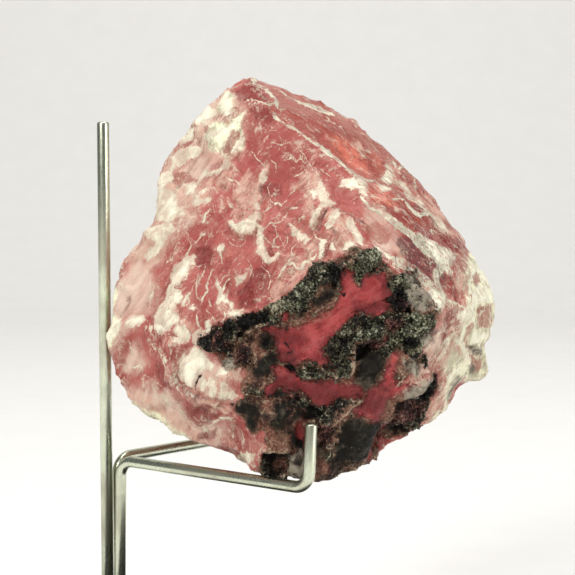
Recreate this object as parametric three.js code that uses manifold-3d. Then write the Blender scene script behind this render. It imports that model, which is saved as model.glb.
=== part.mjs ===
// A rough lump of massive pink fluorite, held up by a wire stand: a round base, a back post and two
// bent arms whose upturned ends keep the lump from sliding off.
// Millimetres, +Z up. The origin is the centre of the base's underside; +X runs from the post towards
// the arms, and -Y is the lump's display side.

import * as THREE from "three";
import { ConvexGeometry } from "three/addons/geometries/ConvexGeometry.js";
import { mergeVertices } from "three/addons/utils/BufferGeometryUtils.js";
import Module from "manifold-3d";

const wasm = await Module();
wasm.setup();

// ---- Driving dimensions ----------------------------------------------------------------------
const baseDiameter = 120;
const baseThickness = 8;
const baseEdge = 1.6; // radius of its upper rim
const baseChamfer = 0.8; // of its lower edge
const postDiameter = 3.2;
const postTop = 148;
const armDiameter = 3;
const armHeight = 60; // centre line of the level run
const armBend = 4.2; // bend radius at the centre line
const hookTop = 76;
const hookLean = 0.7; // how far each hook's tip leans towards +X
const socketDepth = 6; // how far each rod goes into the base
const clearance = 0.3; // between neighbouring pieces
const tipRadii = [0.46, 0.46, 0.28]; // of each rod's domed tip, in rod diameters

// How finely the round forms are divided.
const rodSides = 14;
const tipRings = 6;
const bendSteps = 5;
const baseSides = 48;
const edgeSteps = 2;
const socketSides = 24;

// Where each rod stands in the base, and where the arms turn.
const postFoot = [-48, 0];
const frontFoot = [-44.9, -1.7];
const frontShoulder = [-44.0, -1.5];
const frontHook = [5.1, -37.2];
const rearFoot = [-45.0, 1.8];
const rearShoulder = [-45.2, 2.1];
const rearHook = [-2.5, 44.6];

// ---- Solids ----------------------------------------------------------------------------------
const solidOf = (geometry) => {
  geometry.deleteAttribute("normal");
  geometry.deleteAttribute("uv");
  const merged = mergeVertices(geometry, 1e-4);
  return new wasm.Manifold(
    new wasm.Mesh({
      numProp: 3,
      vertProperties: new Float32Array(merged.attributes.position.array),
      triVerts: new Uint32Array(merged.index.array),
    }),
  );
};

const geometryOf = (solid) => {
  const { vertProperties, triVerts } = solid.getMesh();
  const geometry = new THREE.BufferGeometry();
  geometry.setAttribute("position", new THREE.BufferAttribute(vertProperties, 3));
  geometry.setIndex(new THREE.BufferAttribute(triVerts, 1));
  return geometry;
};

const named = (name, geometry, colour, roughness, metalness) => {
  const material = new THREE.MeshStandardMaterial({ color: colour, roughness, metalness });
  const mesh = new THREE.Mesh(geometry, material);
  mesh.name = name;
  return mesh;
};

// An upright ellipsoid of the three given radii.
const ellipsoid = ([x, y, z], [rx, ry, rz], around, down) =>
  new THREE.SphereGeometry(1, around, down).rotateX(Math.PI / 2).scale(rx, ry, rz).translate(x, y, z);

// ---- Rods ------------------------------------------------------------------------------------
// The centre line of a bent rod: straight runs between corners, each inner corner turned on an arc.
class RodPath extends THREE.Curve {
  constructor(corners, bend) {
    super();
    const p = corners.map((c) => new THREE.Vector3(...c));
    this.stations = [{ at: p[0], along: p[1].clone().sub(p[0]).normalize() }];
    for (let i = 1; i < p.length - 1; i++) {
      const into = p[i].clone().sub(p[i - 1]).normalize();
      const out = p[i + 1].clone().sub(p[i]).normalize();
      const angle = into.angleTo(out);
      const setback = bend * Math.tan(angle / 2);
      const start = p[i].clone().addScaledVector(into, -setback);
      const inward = out.clone().addScaledVector(into, -out.dot(into)).normalize();
      const centre = start.clone().addScaledVector(inward, bend);
      for (let k = 0; k <= bendSteps; k++) {
        const a = (angle * k) / bendSteps;
        const at = centre.clone().addScaledVector(inward, -bend * Math.cos(a));
        at.addScaledVector(into, bend * Math.sin(a));
        const along = into.clone().multiplyScalar(Math.cos(a)).addScaledVector(inward, Math.sin(a));
        this.stations.push({ at, along });
      }
    }
    const last = p.length - 1;
    this.stations.push({ at: p[last], along: p[last].clone().sub(p[last - 1]).normalize() });
    this.spans = this.stations.length - 1;
  }
  station(u) {
    return this.stations[Math.round(u * this.spans)];
  }
  getPoint(u) {
    return this.station(u).at.clone();
  }
  getPointAt(u) {
    return this.getPoint(u);
  }
  getTangentAt(u) {
    return this.station(u).along.clone();
  }
}

// A round rod along the path, with a low domed tip.
const rod = (corners, diameter, bend) => {
  const path = new RodPath(corners, bend);
  const section = new THREE.Shape().absarc(0, 0, diameter / 2, 0, 2 * Math.PI);
  const bar = new THREE.ExtrudeGeometry(section, {
    steps: path.spans,
    curveSegments: rodSides / 2, // an arc is divided twice as finely
    extrudePath: path,
  });
  const radii = tipRadii.map((share) => share * diameter);
  const tip = ellipsoid(corners.at(-1), radii, rodSides, tipRings);
  return geometryOf(solidOf(bar).add(solidOf(tip)));
};

const rodBottom = baseThickness - socketDepth + clearance;
const arm = (foot, shoulder, hook) =>
  rod(
    [
      [...foot, rodBottom],
      [...shoulder, armHeight],
      [...hook, armHeight],
      [hook[0] + hookLean, hook[1], hookTop],
    ],
    armDiameter,
    armBend,
  );

const postRod = rod([[...postFoot, rodBottom], [...postFoot, postTop]], postDiameter, armBend);
const frontArm = arm(frontFoot, frontShoulder, frontHook);
const rearArm = arm(rearFoot, rearShoulder, rearHook);

// ---- Base ------------------------------------------------------------------------------------
const baseDisc = () => {
  const r = baseDiameter / 2;
  const profile = new THREE.Path().moveTo(0, 0).lineTo(r - baseChamfer, 0).lineTo(r, baseChamfer);
  profile.lineTo(r, baseThickness - baseEdge);
  profile.absarc(r - baseEdge, baseThickness - baseEdge, baseEdge, 0, Math.PI / 2);
  profile.lineTo(0, baseThickness);
  return solidOf(new THREE.LatheGeometry(profile.getPoints(edgeSteps), baseSides).rotateX(Math.PI / 2));
};
const socket = ([x, y], diameter) => {
  const radius = diameter / 2 + clearance;
  const hole = new THREE.CylinderGeometry(radius, radius, 2 * socketDepth, socketSides);
  return solidOf(hole.rotateX(Math.PI / 2).translate(x, y, baseThickness));
};
const base = geometryOf(
  baseDisc()
    .subtract(socket(postFoot, postDiameter))
    .subtract(socket(frontFoot, armDiameter))
    .subtract(socket(rearFoot, armDiameter)),
);

// ---- Lump ------------------------------------------------------------------------------------
// Corners of the broken block, as [x, y, z], along the edges that part its faces.
const crest = [
  [-10.4, 6, 161], [-6.8, 10, 160.3], [-1.2, 13, 158.3], [6.6, 15, 155.6], [15.5, 16, 150.6],
  [20.2, 17, 147.5], [27.3, 17, 141.3], [33.3, 17, 135.3], [39.7, 16, 127.8], [45.3, 14, 120],
  [49.2, 12, 113.2], [53.6, 8, 105.8], [54.8, 4, 98.7],
];
const rightEnd = [[53.8, 3, 90.7], [53, 4, 84], [50, 2, 80.3], [44.2, 0, 75.2], [34.6, -8, 69.4]];
const foot = [[22.6, -20, 63.4], [13, -28, 61.6], [6, -32.4, 60.9], [-7, -29, 61.9], [3, -34.4, 67]];
const lowerLeft = [
  [-13, -24, 64.6], [-24.7, -18, 68.6], [-31.2, -15, 72], [-37, -13, 75.2], [-41, -11, 78.3],
  [-44.5, -7.5, 86.3], [-47, -5.6, 90.8],
];
const upperLeft = [
  [-47.1, -5.6, 93.6], [-46.4, -5.2, 100.2], [-43.7, -1, 110.7], [-40.2, 2, 117.1], [-35.3, 5, 126],
  [-32.5, 7, 139.4], [-25.8, 7, 149.2], [-18.6, 7, 155.2], [-12.5, 6, 160.6],
];
const ridge = [
  [-6.6, 0, 154.5], [-2.4, -6, 150], [9.4, -14, 141.3], [19.3, -20, 132.9], [27.9, -22, 125.5],
  [37.9, -21, 116.8], [45.1, -16, 107.6], [47.7, -14, 98.5],
];
const brow = [
  [-20.3, -28, 96.3], [-5.5, -32.5, 101], [3, -34.5, 108], [13.8, -34.5, 114.7], [23.6, -32, 113.9],
  [35, -27, 104.9], [40, -22, 95.6],
];
const frontCheeks = [
  [-14.4, 0, 149.3], [-21, -10, 131.4], [-28.2, -19, 106.6], [-30.5, -22, 96.9], [-34.6, -19, 94],
  [-24, -27, 92.5], [-25.3, -27, 85], [-11.6, -33, 81], [10.3, -35.2, 81.3], [25.2, -29, 80.4],
  [34.2, -24, 84.6],
];
const back = [
  [-8, 15, 156], [10, 25, 140], [28, 29, 122], [44, 21, 108], [-20, 27, 131], [-36, 17, 112],
  [-5, 37, 110], [20, 39, 98], [40, 30, 90], [50, 16, 90], [-39, 17, 92], [-26, 33, 84],
  [-2, 41.5, 79], [22, 38, 75], [38, 25, 76], [-29, 20, 72], [-10.5, 36.6, 61.85], [12, 33, 62.2],
  [27, 20, 65], [-4, 0, 61], [12, -6, 61],
];
const corners = [crest, rightEnd, foot, lowerLeft, upperLeft, ridge, brow, frontCheeks, back].flat();
const block = solidOf(new ConvexGeometry(corners.map((c) => new THREE.Vector3(...c))));

// Places on the block are given as seen from its heart: azimuth 0 is the display side (-Y) and 90 the
// right end (+X), and elevation is up from level, both in degrees.
const heart = new THREE.Vector3(3, 2, 104);
const bothSides = new THREE.MeshBasicMaterial({ side: THREE.DoubleSide });
let surface = new THREE.Mesh(geometryOf(block), bothSides);
const skinAlong = (outwards) => new THREE.Raycaster(heart, outwards).intersectObject(surface)[0];
const skin = (azimuth, elevation) => {
  const [a, e] = [azimuth, elevation].map(THREE.MathUtils.degToRad);
  return skinAlong(new THREE.Vector3(Math.sin(a) * Math.cos(e), -Math.cos(a) * Math.cos(e), Math.sin(e)));
};

// A frame on the block's skin: its Z faces out, averaged over the faces within a few degrees, and its Y
// runs up the face.
const spread = 7;
const skinFrame = (azimuth, elevation) => {
  const facing = new THREE.Vector3();
  for (const [da, de] of [[0, 0], [spread, 0], [-spread, 0], [0, spread], [0, -spread]]) {
    facing.add(skin(azimuth + da, elevation + de).face.normal);
  }
  facing.normalize();
  const across = new THREE.Vector3(0, 0, 1).cross(facing).normalize();
  const frame = new THREE.Matrix4().makeBasis(across, facing.clone().cross(across), facing);
  return frame.setPosition(skin(azimuth, elevation).point);
};
const turned = (frame, degrees) =>
  frame.multiply(new THREE.Matrix4().makeRotationZ(-THREE.MathUtils.degToRad(degrees)));

// An even but unordered number from 0 to 1 for each number: the fraction of a tall, fast sine wave.
const chance = (n) => {
  const wave = Math.sin(n * 12.9898) * 43758.5453;
  return wave - Math.floor(wave);
};
const between = (low, high, n) => low + (high - low) * chance(n);

// A scar, where a flake has broken off: a shallow cap of an uneven ellipsoid, `depth` deep in the skin,
// 2 * wide across and 2 * long along the frame's Y, which is turned clockwise.
const bulge = 2.6; // the ellipsoid's short radius, in depths
const scarFacets = [14, 12]; // around and down
const rim = Math.sqrt(1 - ((bulge - 1) / bulge) ** 2); // the cap's rim, in the ellipsoid's long radii
const scar = ([azimuth, elevation, depth, wide, long, turn], index) => {
  const tool = ellipsoid([0, 0, 0], [wide / rim, long / rim, bulge * depth], ...scarFacets);
  tool.deleteAttribute("normal");
  tool.deleteAttribute("uv");
  const worn = mergeVertices(tool, 1e-4);
  const position = worn.attributes.position;
  for (let i = 0; i < position.count; i++) {
    const swell = between(0.95, 1.05, i + 31 * index);
    position.setXYZ(i, position.getX(i) * swell, position.getY(i) * swell, position.getZ(i));
  }
  worn.translate(0, 0, (bulge - 1) * depth);
  return solidOf(worn.applyMatrix4(turned(skinFrame(azimuth, elevation), turn)));
};

// The crust is one closed shell round the heart, which lies below the scarred skin wherever there is
// none and stands out of it along the bands and on the knobs, so what shows is islands of crust.
const sunk = 1.5;
const shellDetail = 23; // divisions of each edge of an icosahedron
const wander = 0.022; // how far a corner of the shell strays from its even place, on a unit sphere
const knobFall = 2.4; // a knob is level on top and steep at its rim
const knobDepth = 2; // how far a knob reaches along the view of its skin, in widths
const bandHeight = ({ places, rise, half }, point, index) => {
  let nearest = Infinity;
  const closest = new THREE.Vector3();
  for (let k = 0; k + 1 < places.length; k++) {
    new THREE.Line3(places[k], places[k + 1]).closestPointToPoint(point, true, closest);
    nearest = Math.min(nearest, closest.distanceTo(point));
  }
  const share = nearest / (half * between(0.8, 1.2, index + 0.5));
  return rise * (1 - share ** 2) * between(0.55, 1.45, index);
};
const knobHeight = ({ toLocal, rise, wide, long }, point, index) => {
  const { x, y, z } = point.clone().applyMatrix4(toLocal);
  const share = Math.hypot(x / wide, y / long, z / wide / knobDepth);
  return rise * (1 - share ** knobFall) * between(0.85, 1.15, index);
};
const crust = () => {
  const lines = bands.map(([rise, half, ...places]) => {
    return { rise, half, places: places.map((place) => skin(...place).point) };
  });
  const lumps = knobs.map(([azimuth, elevation, rise, wide, long, turn]) => {
    const toLocal = turned(skinFrame(azimuth, elevation), turn).invert();
    return { toLocal, rise, wide, long };
  });
  const shell = new THREE.IcosahedronGeometry(1, shellDetail);
  shell.deleteAttribute("normal");
  shell.deleteAttribute("uv");
  const merged = mergeVertices(shell, 1e-4);
  const position = merged.attributes.position;
  const outwards = new THREE.Vector3();
  for (let i = 0; i < position.count; i++) {
    const stray = new THREE.Vector3(chance(i + 0.1), chance(i + 0.2), chance(i + 0.3));
    outwards.fromBufferAttribute(position, i).addScaledVector(stray.subScalar(0.5), wander);
    const { point, distance } = skinAlong(outwards.normalize());
    const heights = [
      ...lines.map((line) => bandHeight(line, point, i)),
      ...lumps.map((lump) => knobHeight(lump, point, i)),
    ];
    outwards.multiplyScalar(distance + Math.max(-sunk, ...heights)).add(heart);
    position.setXYZ(i, ...outwards);
  }
  return solidOf(merged);
};

// [azimuth, elevation, depth, half width, half length, turn]
const scars = [
  // the display side: the notch in the left outline, the tall pink face, the salmon face under the crest
  [-93, 26, 3.4, 18, 11.5, 0], [-42, 58, 1.5, 20, 26, 20], [-10, 34, 1.1, 13, 12, 0],
  [62, 62, 1.4, 11, 32, -50],
  // its left cheek, from the top down, and the notches beside the foot
  [-84, 50, 1.5, 10, 13, 10], [-74, 5, 1.6, 11, 15, 15], [-64, -20, 2, 12, 12, 30],
  [-40, -42, 2.2, 14, 10, 25], [-33, -54, 2.6, 7, 6, 0], [52, -48, 3.4, 8, 6.5, 0],
  // the matrix, with its two windows of clear crimson stone and two dark pockets
  [14, -14, 1.4, 24, 19, 20], [9, -4, 1.7, 9, 16, 50], [12, -31, 1.4, 13, 5, -8], [55, -36, 2.2, 6, 7, 20],
  [-10, -48, 1.4, 3.6, 3.6, 0],
  // the right end
  [72, 0, 1.3, 4, 15, -8], [64, -14, 1.3, 4.5, 11, 8], [92, -14, 1.5, 5, 3.6, 0], [80, 24, 1.5, 8, 15, -30],
  // the back
  [172, 40, 2.8, 18, 20, 20], [128, 32, 2.6, 15, 20, -25], [178, -8, 2.6, 18, 16, 0],
  [-128, 6, 2.8, 15, 19, 15], [138, -28, 2.8, 16, 14, -20], [-150, -34, 2.4, 14, 11, 10],
  [-110, 52, 2, 11, 14, 0],
  // the underside
  [30, -84, 1.6, 10, 12, 30], [-75, -48, 1.8, 11, 11, 0],
];

// [azimuth, elevation, rise, half width, half length, turn]
const knobs = [
  // the pale knob at the left of the matrix, the nub at the right end, and two chips on the crest
  [-36, -25, 2.4, 8, 8.5, -20], [88, -24, 1.6, 3.6, 4.6, 0], [158, 74, 1.2, 3, 2.4, 0],
  [134, 65, 1.3, 3.4, 3, 0],
  // dark slabs and clots in the lower matrix
  [26, -42, 1.4, 6, 6.5, 15], [-10, -35, 1.4, 4.5, 4, 0], [-17, -41, 1.2, 4, 3.2, 60],
  [34, -23, 1.2, 3.4, 4, 0], [11, -44, 1.2, 4, 3.4, 0], [-19, -17, 1.3, 3.4, 2.8, 50],
  // the back
  [150, 8, 1.8, 8, 6, 30], [-160, 20, 1.6, 7, 9, -20], [-172, -24, 1.8, 9, 6, 80], [112, -8, 1.6, 6, 9, 10],
];

// [rise, half width, ...places as [azimuth, elevation]]
const bands = [
  // the crust of dark grains: the upper left edge, the broad right edge, and the crooked band between
  [1.4, 3.4, [-35, -12], [-27, -9], [-18, -4], [-8, 1]],
  [1.6, 4.2, [-8, 1], [2, 8], [12, 14], [24, 16]],
  [1.4, 5.2, [33, 10], [42, 3], [47, -6], [42, -15]],
  [1.5, 2.8, [36, -3], [28, -9], [20, -13], [18, -18], [24, -21]],
  [1.3, 2.2, [18, -20], [8, -20], [0, -19], [-6, -22]],
  [1.3, 3, [-14, -15], [-18, -21], [-14, -27], [-20, -32]],
  // blades on the right end
  [1.2, 1.9, [67, 14], [70, 0], [66, -14], [60, -26]], [1.1, 1.8, [76, 10], [78, -4], [75, -16]],
  [1.1, 1.8, [60, 4], [58, -8], [55, -18]],
];

const scarred = scars.map(scar).reduce((rock, tool) => rock.subtract(tool), block);
surface = new THREE.Mesh(geometryOf(scarred), bothSides);
const lump = geometryOf(scarred.add(crust()));

// ---- Assembly --------------------------------------------------------------------------------
const specimen = new THREE.Group();
specimen.add(
  named("fluorite_lump", lump, 0xb4606a, 0.45, 0),
  named("back_post", postRod, 0xb9b9ae, 0.28, 1),
  named("front_arm", frontArm, 0xb9b9ae, 0.28, 1),
  named("rear_arm", rearArm, 0xb9b9ae, 0.28, 1),
  named("round_base", base, 0x1c1c1e, 0.5, 0),
);

export default specimen;
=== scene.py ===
import bpy
import numpy as np
from mathutils import Matrix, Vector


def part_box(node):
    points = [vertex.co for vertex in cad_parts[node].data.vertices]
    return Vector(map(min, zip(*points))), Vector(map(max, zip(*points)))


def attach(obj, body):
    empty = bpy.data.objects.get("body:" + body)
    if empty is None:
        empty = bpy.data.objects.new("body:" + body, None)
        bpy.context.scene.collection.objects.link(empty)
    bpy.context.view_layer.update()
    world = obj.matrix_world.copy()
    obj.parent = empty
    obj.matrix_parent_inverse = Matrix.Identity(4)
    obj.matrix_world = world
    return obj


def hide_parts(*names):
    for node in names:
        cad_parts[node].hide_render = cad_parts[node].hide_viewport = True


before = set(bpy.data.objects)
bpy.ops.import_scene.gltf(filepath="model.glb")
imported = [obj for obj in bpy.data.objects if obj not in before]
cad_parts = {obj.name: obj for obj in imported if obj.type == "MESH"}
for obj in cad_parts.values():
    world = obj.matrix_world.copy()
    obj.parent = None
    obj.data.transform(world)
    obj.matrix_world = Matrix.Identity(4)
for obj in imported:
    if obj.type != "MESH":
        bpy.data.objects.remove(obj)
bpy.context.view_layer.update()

# ---- The view and the room -------------------------------------------------------------------
# The specimen is looked at from in front of its display side, a little above its middle. It stands on
# a pale sweep, a floor that turns up into a wall behind. Soft lights hang round it: the main one at
# the upper left, a fill at the right, a weak one overhead, and one that lights the wall.
view_side = 575  # the view is a square of this many pixels
focal_length = 1600  # in the same pixels
view_pitch = np.radians(5)  # looks down
view_place = np.array([0.0, -0.4184, 0.1422])
view_along = np.array([0.0, np.cos(view_pitch), -np.sin(view_pitch)])
view_up = np.array([0.0, np.sin(view_pitch), np.cos(view_pitch)])

scene = bpy.context.scene
camera = bpy.data.objects.new("display_view", bpy.data.cameras.new("display_view"))
camera.data.sensor_width = 36
camera.data.lens = 36 * focal_length / view_side
camera.data.clip_start = 0.01
camera.data.clip_end = 20
camera.location = view_place
camera.rotation_euler = (np.pi / 2 - view_pitch, 0, 0)
scene.collection.objects.link(camera)
scene.camera = camera
scene.view_settings.view_transform = "Standard"


def surface_mesh(name, points, wrap_u=False, wrap_v=False):
    """A mesh of quads over a grid of points (rows u, columns v), joined round either way if asked."""
    rows, columns = points.shape[:2]
    u = np.arange(rows if wrap_u else rows - 1)
    v = np.arange(columns if wrap_v else columns - 1)
    a, b = np.meshgrid(u, v, indexing="ij")
    c, d = (a + 1) % rows, (b + 1) % columns
    quads = np.stack([a * columns + b, c * columns + b, c * columns + d, a * columns + d], -1)
    mesh = bpy.data.meshes.new(name)
    mesh.from_pydata(points.reshape(-1, 3).tolist(), [], quads.reshape(-1, 4).tolist())
    mesh.shade_smooth()
    return mesh


def show(name, mesh, material):
    """Puts a mesh into the scene as an object of that name and material."""
    mesh.materials.append(material)
    made = bpy.data.objects.new(name, mesh)
    scene.collection.objects.link(made)
    return made


def paint(red, green, blue):
    """A colour given as it looks on a screen, 0 to 255, as the linear light that a shader takes."""
    shown = np.array([red, green, blue]) / 255
    linear = np.where(shown <= 0.04045, shown / 12.92, ((shown + 0.055) / 1.055) ** 2.4)
    return (*linear.tolist(), 1.0)


def add_node(tree, kind, inputs=None, **settings):
    """Adds a shader node. Its inputs are values, or other nodes' outputs to link."""
    made = tree.nodes.new("ShaderNode" + kind)
    for key, value in settings.items():
        setattr(made, key, value)
    for key, value in (inputs or {}).items():
        if isinstance(value, bpy.types.NodeSocket):
            tree.links.new(value, made.inputs[key])
        else:
            made.inputs[key].default_value = value
    return made


def new_material(name, **even):
    """A material with one Principled BSDF, and that shader's inputs which are even all over."""
    material = bpy.data.materials.new(name)
    material.use_nodes = True
    shader = material.node_tree.nodes["Principled BSDF"]
    for key, value in even.items():
        shader.inputs[key.replace("_", " ")].default_value = value
    return material, material.node_tree, shader


def mixed(share, a, b):
    """Colour b over colour a, by share."""
    return add_node(share.id_data, "Mix", {0: share, 6: a, 7: b}, data_type="RGBA").outputs[2]


def noise(place, size, detail=3.0, roughness=0.5, distortion=0.0):
    """Cloudy noise from 0 to 1 whose largest blobs are about `size` long."""
    inputs = {
        "Vector": place,
        "Scale": 1 / size,
        "Detail": detail,
        "Roughness": roughness,
        "Distortion": distortion,
    }
    return add_node(place.id_data, "TexNoise", inputs).outputs[0]


def dress(shader, colour, roughness=None, relief=None, depth=0.0, strength=0.0):
    """Leads a colour, a roughness and, through a Bump node, a height to a material's shader."""
    tree = shader.id_data
    tree.links.new(colour, shader.inputs["Base Color"])
    if roughness:
        tree.links.new(roughness, shader.inputs["Roughness"])
    if relief:
        bump = add_node(tree, "Bump", {"Height": relief, "Distance": depth, "Strength": strength})
        tree.links.new(bump.outputs[0], shader.inputs["Normal"])


sweep_width = 4.0
sweep_front = -1.6
sweep_back = 0.9
sweep_turn = 0.5  # radius of the turn from floor to wall
sweep_turn_steps = 24
sweep_top = 2.4
sweep_columns = 9


def sweep_surface():
    """A level run along Y, a quarter circle and an upright run, carried straight across along X."""
    turn = np.linspace(0, np.pi / 2, sweep_turn_steps)
    y = np.concatenate([[sweep_front], sweep_back + sweep_turn * np.sin(turn), [sweep_back + sweep_turn]])
    z = np.concatenate([[0], sweep_turn * (1 - np.cos(turn)), [sweep_top]])
    x = np.linspace(-sweep_width / 2, sweep_width / 2, sweep_columns)
    return np.stack(np.broadcast_arrays(x[:, None], y[None], z[None]), -1)


sweep_paint, tree, shader = new_material("matt_paper", Roughness=0.85)
place = add_node(tree, "TexCoord").outputs["Object"]
fibre = noise(place, 0.02, 4)
dress(shader, mixed(fibre, paint(236, 234, 230), paint(242, 240, 237)))
show("pale_sweep", surface_mesh("pale_sweep", sweep_surface()), sweep_paint)

# name, place, what it points at, size, watts, colour
lights = [
    ("main_softbox", (-0.55, -0.70, 0.60), (0, 0, 0.1), 0.26, 5.7, (1.0, 0.985, 0.95)),
    ("fill_softbox", (0.90, -0.40, 0.25), (0, 0, 0.1), 0.5, 4.2, (1.0, 1.0, 0.97)),
    ("top_softbox", (0.10, 0.10, 0.90), (0, 0, 0.1), 0.5, 2.0, (1.0, 1.0, 1.0)),
    ("wall_softbox", (0.0, -0.1, 1.9), (0, 1.3, 0.5), 1.4, 26.0, (1.0, 1.0, 1.0)),
]
for name, light_place, target, size, watts, colour in lights:
    lamp = bpy.data.lights.new(name, "AREA")
    lamp.size = size
    lamp.energy = watts
    lamp.color = colour
    lit = bpy.data.objects.new(name, lamp)
    away = np.array(light_place) - np.array(target)
    across = np.cross([0.0, 0.0, 1.0], away)
    across = across / np.linalg.norm(across)
    away = away / np.linalg.norm(away)
    turned = np.eye(4)
    turned[:3, :3] = np.stack([across, np.cross(away, across), away], 1)
    turned[:3, 3] = light_place
    lit.matrix_world = Matrix(turned.tolist())
    scene.collection.objects.link(lit)

scene.world = bpy.data.worlds.new("pale_room")
scene.world.use_nodes = True
ambient = scene.world.node_tree.nodes["Background"].inputs
ambient["Color"].default_value = (0.8, 0.82, 0.85, 1)
ambient["Strength"].default_value = 0.16

# ---- Round base ------------------------------------------------------------------------------
# A flat steel disc under satin black paint, turned on a lathe with a rounded upper rim and a small
# chamfer below. The post and the two arms are pressed into three holes in its top, which they fill.
base_low, base_high = (np.array(corner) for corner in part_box("round_base"))
base_radius = (base_high[0] - base_low[0]) / 2
base_rim = 0.0016
base_rim_steps = 9
base_chamfer = 0.0008
base_sides = 160
axis_hole = 0.0004  # radius of the last ring, inside which one face closes the disc


def lathe_surface(profile, around):
    """A profile of radii and heights, carried once round the Z axis in equal steps."""
    angle = np.linspace(0, 2 * np.pi, around, endpoint=False)
    r, z = np.array(profile).T
    ring = np.stack([np.cos(angle)[:, None] * r, np.sin(angle)[:, None] * r], -1)
    return np.concatenate([ring, np.broadcast_to(z, ring.shape[:2])[..., None]], -1)


def base_profile():
    """From the middle of the underside out, over the chamfer, up the edge, round a quarter circle
    and back in to the middle of the top. Close pairs of points keep each edge crisp."""
    turn = np.linspace(0, np.pi / 2, base_rim_steps)
    crisp = 0.00012
    low = [(axis_hole, 0), (base_radius * 0.5, 0), (base_radius - base_chamfer - crisp, 0)]
    low += [(base_radius - base_chamfer, 0), (base_radius - crisp, base_chamfer - crisp)]
    low += [(base_radius, base_chamfer), (base_radius, base_high[2] - base_rim - crisp)]
    bend = np.stack([np.cos(turn), np.sin(turn)], 1) * base_rim
    bend += [base_radius - base_rim, base_high[2] - base_rim]
    high = [(base_radius - base_rim - crisp, base_high[2]), (base_radius * 0.5, base_high[2])]
    high += [(axis_hole, base_high[2])]
    return np.concatenate([low, bend, high])


def closed_lathe(name, profile, around):
    """The lathe surface as a mesh, with one face over each small hole on the axis."""
    points = lathe_surface(profile, around)
    rows, columns = points.shape[:2]
    mesh = surface_mesh(name, points, wrap_u=True)
    quads = [tuple(polygon.vertices) for polygon in mesh.polygons]
    quads += [tuple(np.arange(rows)[::-1] * columns), tuple(np.arange(rows) * columns + columns - 1)]
    mesh.clear_geometry()
    mesh.from_pydata(points.reshape(-1, 3).tolist(), [], quads)
    mesh.shade_smooth()
    return mesh


def number(operation, a, b=0.0, c=0.0):
    """The output of one Math node, in the tree of the first input that comes from a node."""
    tree = next(value.id_data for value in (a, b, c) if isinstance(value, bpy.types.NodeSocket))
    return add_node(tree, "Math", {0: a, 1: b, 2: c}, operation=operation).outputs[0]


def rise(value, low, high, bottom=0.0, top=1.0):
    """A smooth step from bottom to top as value goes from low to high."""
    inputs = {"Value": value, "From Min": low, "From Max": high, "To Min": bottom, "To Max": top}
    return add_node(value.id_data, "MapRange", inputs, interpolation_type="SMOOTHSTEP").outputs[0]


black_paint, tree, shader = new_material("satin_black_paint", Specular_IOR_Level=0.4)
place = add_node(tree, "TexCoord").outputs["Object"]
peel = noise(place, 0.0009, 2)
haze = noise(place, 0.02, 4)
dust = rise(noise(place, 0.0006, 2, 0.8), 0.66, 0.74)
shade = mixed(haze, paint(23, 23, 25), paint(34, 34, 36))
shade = mixed(number("MULTIPLY", dust, 0.12), shade, paint(150, 145, 140))
dress(shader, shade, rise(haze, 0.3, 0.7, 0.36, 0.48), peel, 0.00006, 0.5)

base_mesh = closed_lathe("painted_base", base_profile(), base_sides)
painted_base = show("painted_base", base_mesh, black_paint)
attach(painted_base, "root")
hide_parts("round_base")

# ---- Steel post and arms ---------------------------------------------------------------------
# Straight and bent lengths of round drawn steel wire, pushed into the base. The post steadies the
# stone from the left; the two arms run out level under it and turn up as hooks at its front and back.
wire_sides = 28
post_diameter = 0.0032
arm_diameter = 0.003
arm_height = 0.060
arm_bend = 0.0042
hook_top = 0.076
hook_lean = 0.0007
tip_round = 0.0005
tip_fall = 1.6  # how much faster the rounded tip narrows than a quarter circle
tip_steps = 6
tip_end = 0.00005  # radius of the last ring
foot_end = 0.0002  # radius of the first ring, hidden in the base
bend_steps = 14
rod_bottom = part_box("back_post")[0].z
post_foot = (-0.048, 0.0)
# foot, shoulder and hook of each arm, as x, y
front_run = [(-0.0449, -0.0017), (-0.0440, -0.0015), (0.0051, -0.0372)]
rear_run = [(-0.0450, 0.0018), (-0.0452, 0.0021), (-0.0025, 0.0446)]


def bent_line(corners, bend):
    """Straight runs between corners, each inner corner turned on an arc of radius `bend`."""
    corners = np.array(corners, float)
    stations, along = [corners[0]], []
    for before, corner, after in zip(corners, corners[1:], corners[2:]):
        arrive = (corner - before) / np.linalg.norm(corner - before)
        leave = (after - corner) / np.linalg.norm(after - corner)
        angle = np.arccos(arrive @ leave)
        inward = leave - (leave @ arrive) * arrive
        inward /= np.linalg.norm(inward)
        start = corner - arrive * bend * np.tan(angle / 2)
        turn = np.linspace(0, angle, bend_steps)[:, None]
        stations += list(start + bend * (inward * (1 - np.cos(turn)) + arrive * np.sin(turn)))
        along += [arrive] * (len(along) == 0) + list(arrive * np.cos(turn) + inward * np.sin(turn))
    last = corners[-1] - corners[-2]
    last /= np.linalg.norm(last)
    return np.array(stations + [corners[-1]]), np.array((along or [last]) + [last])


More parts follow.
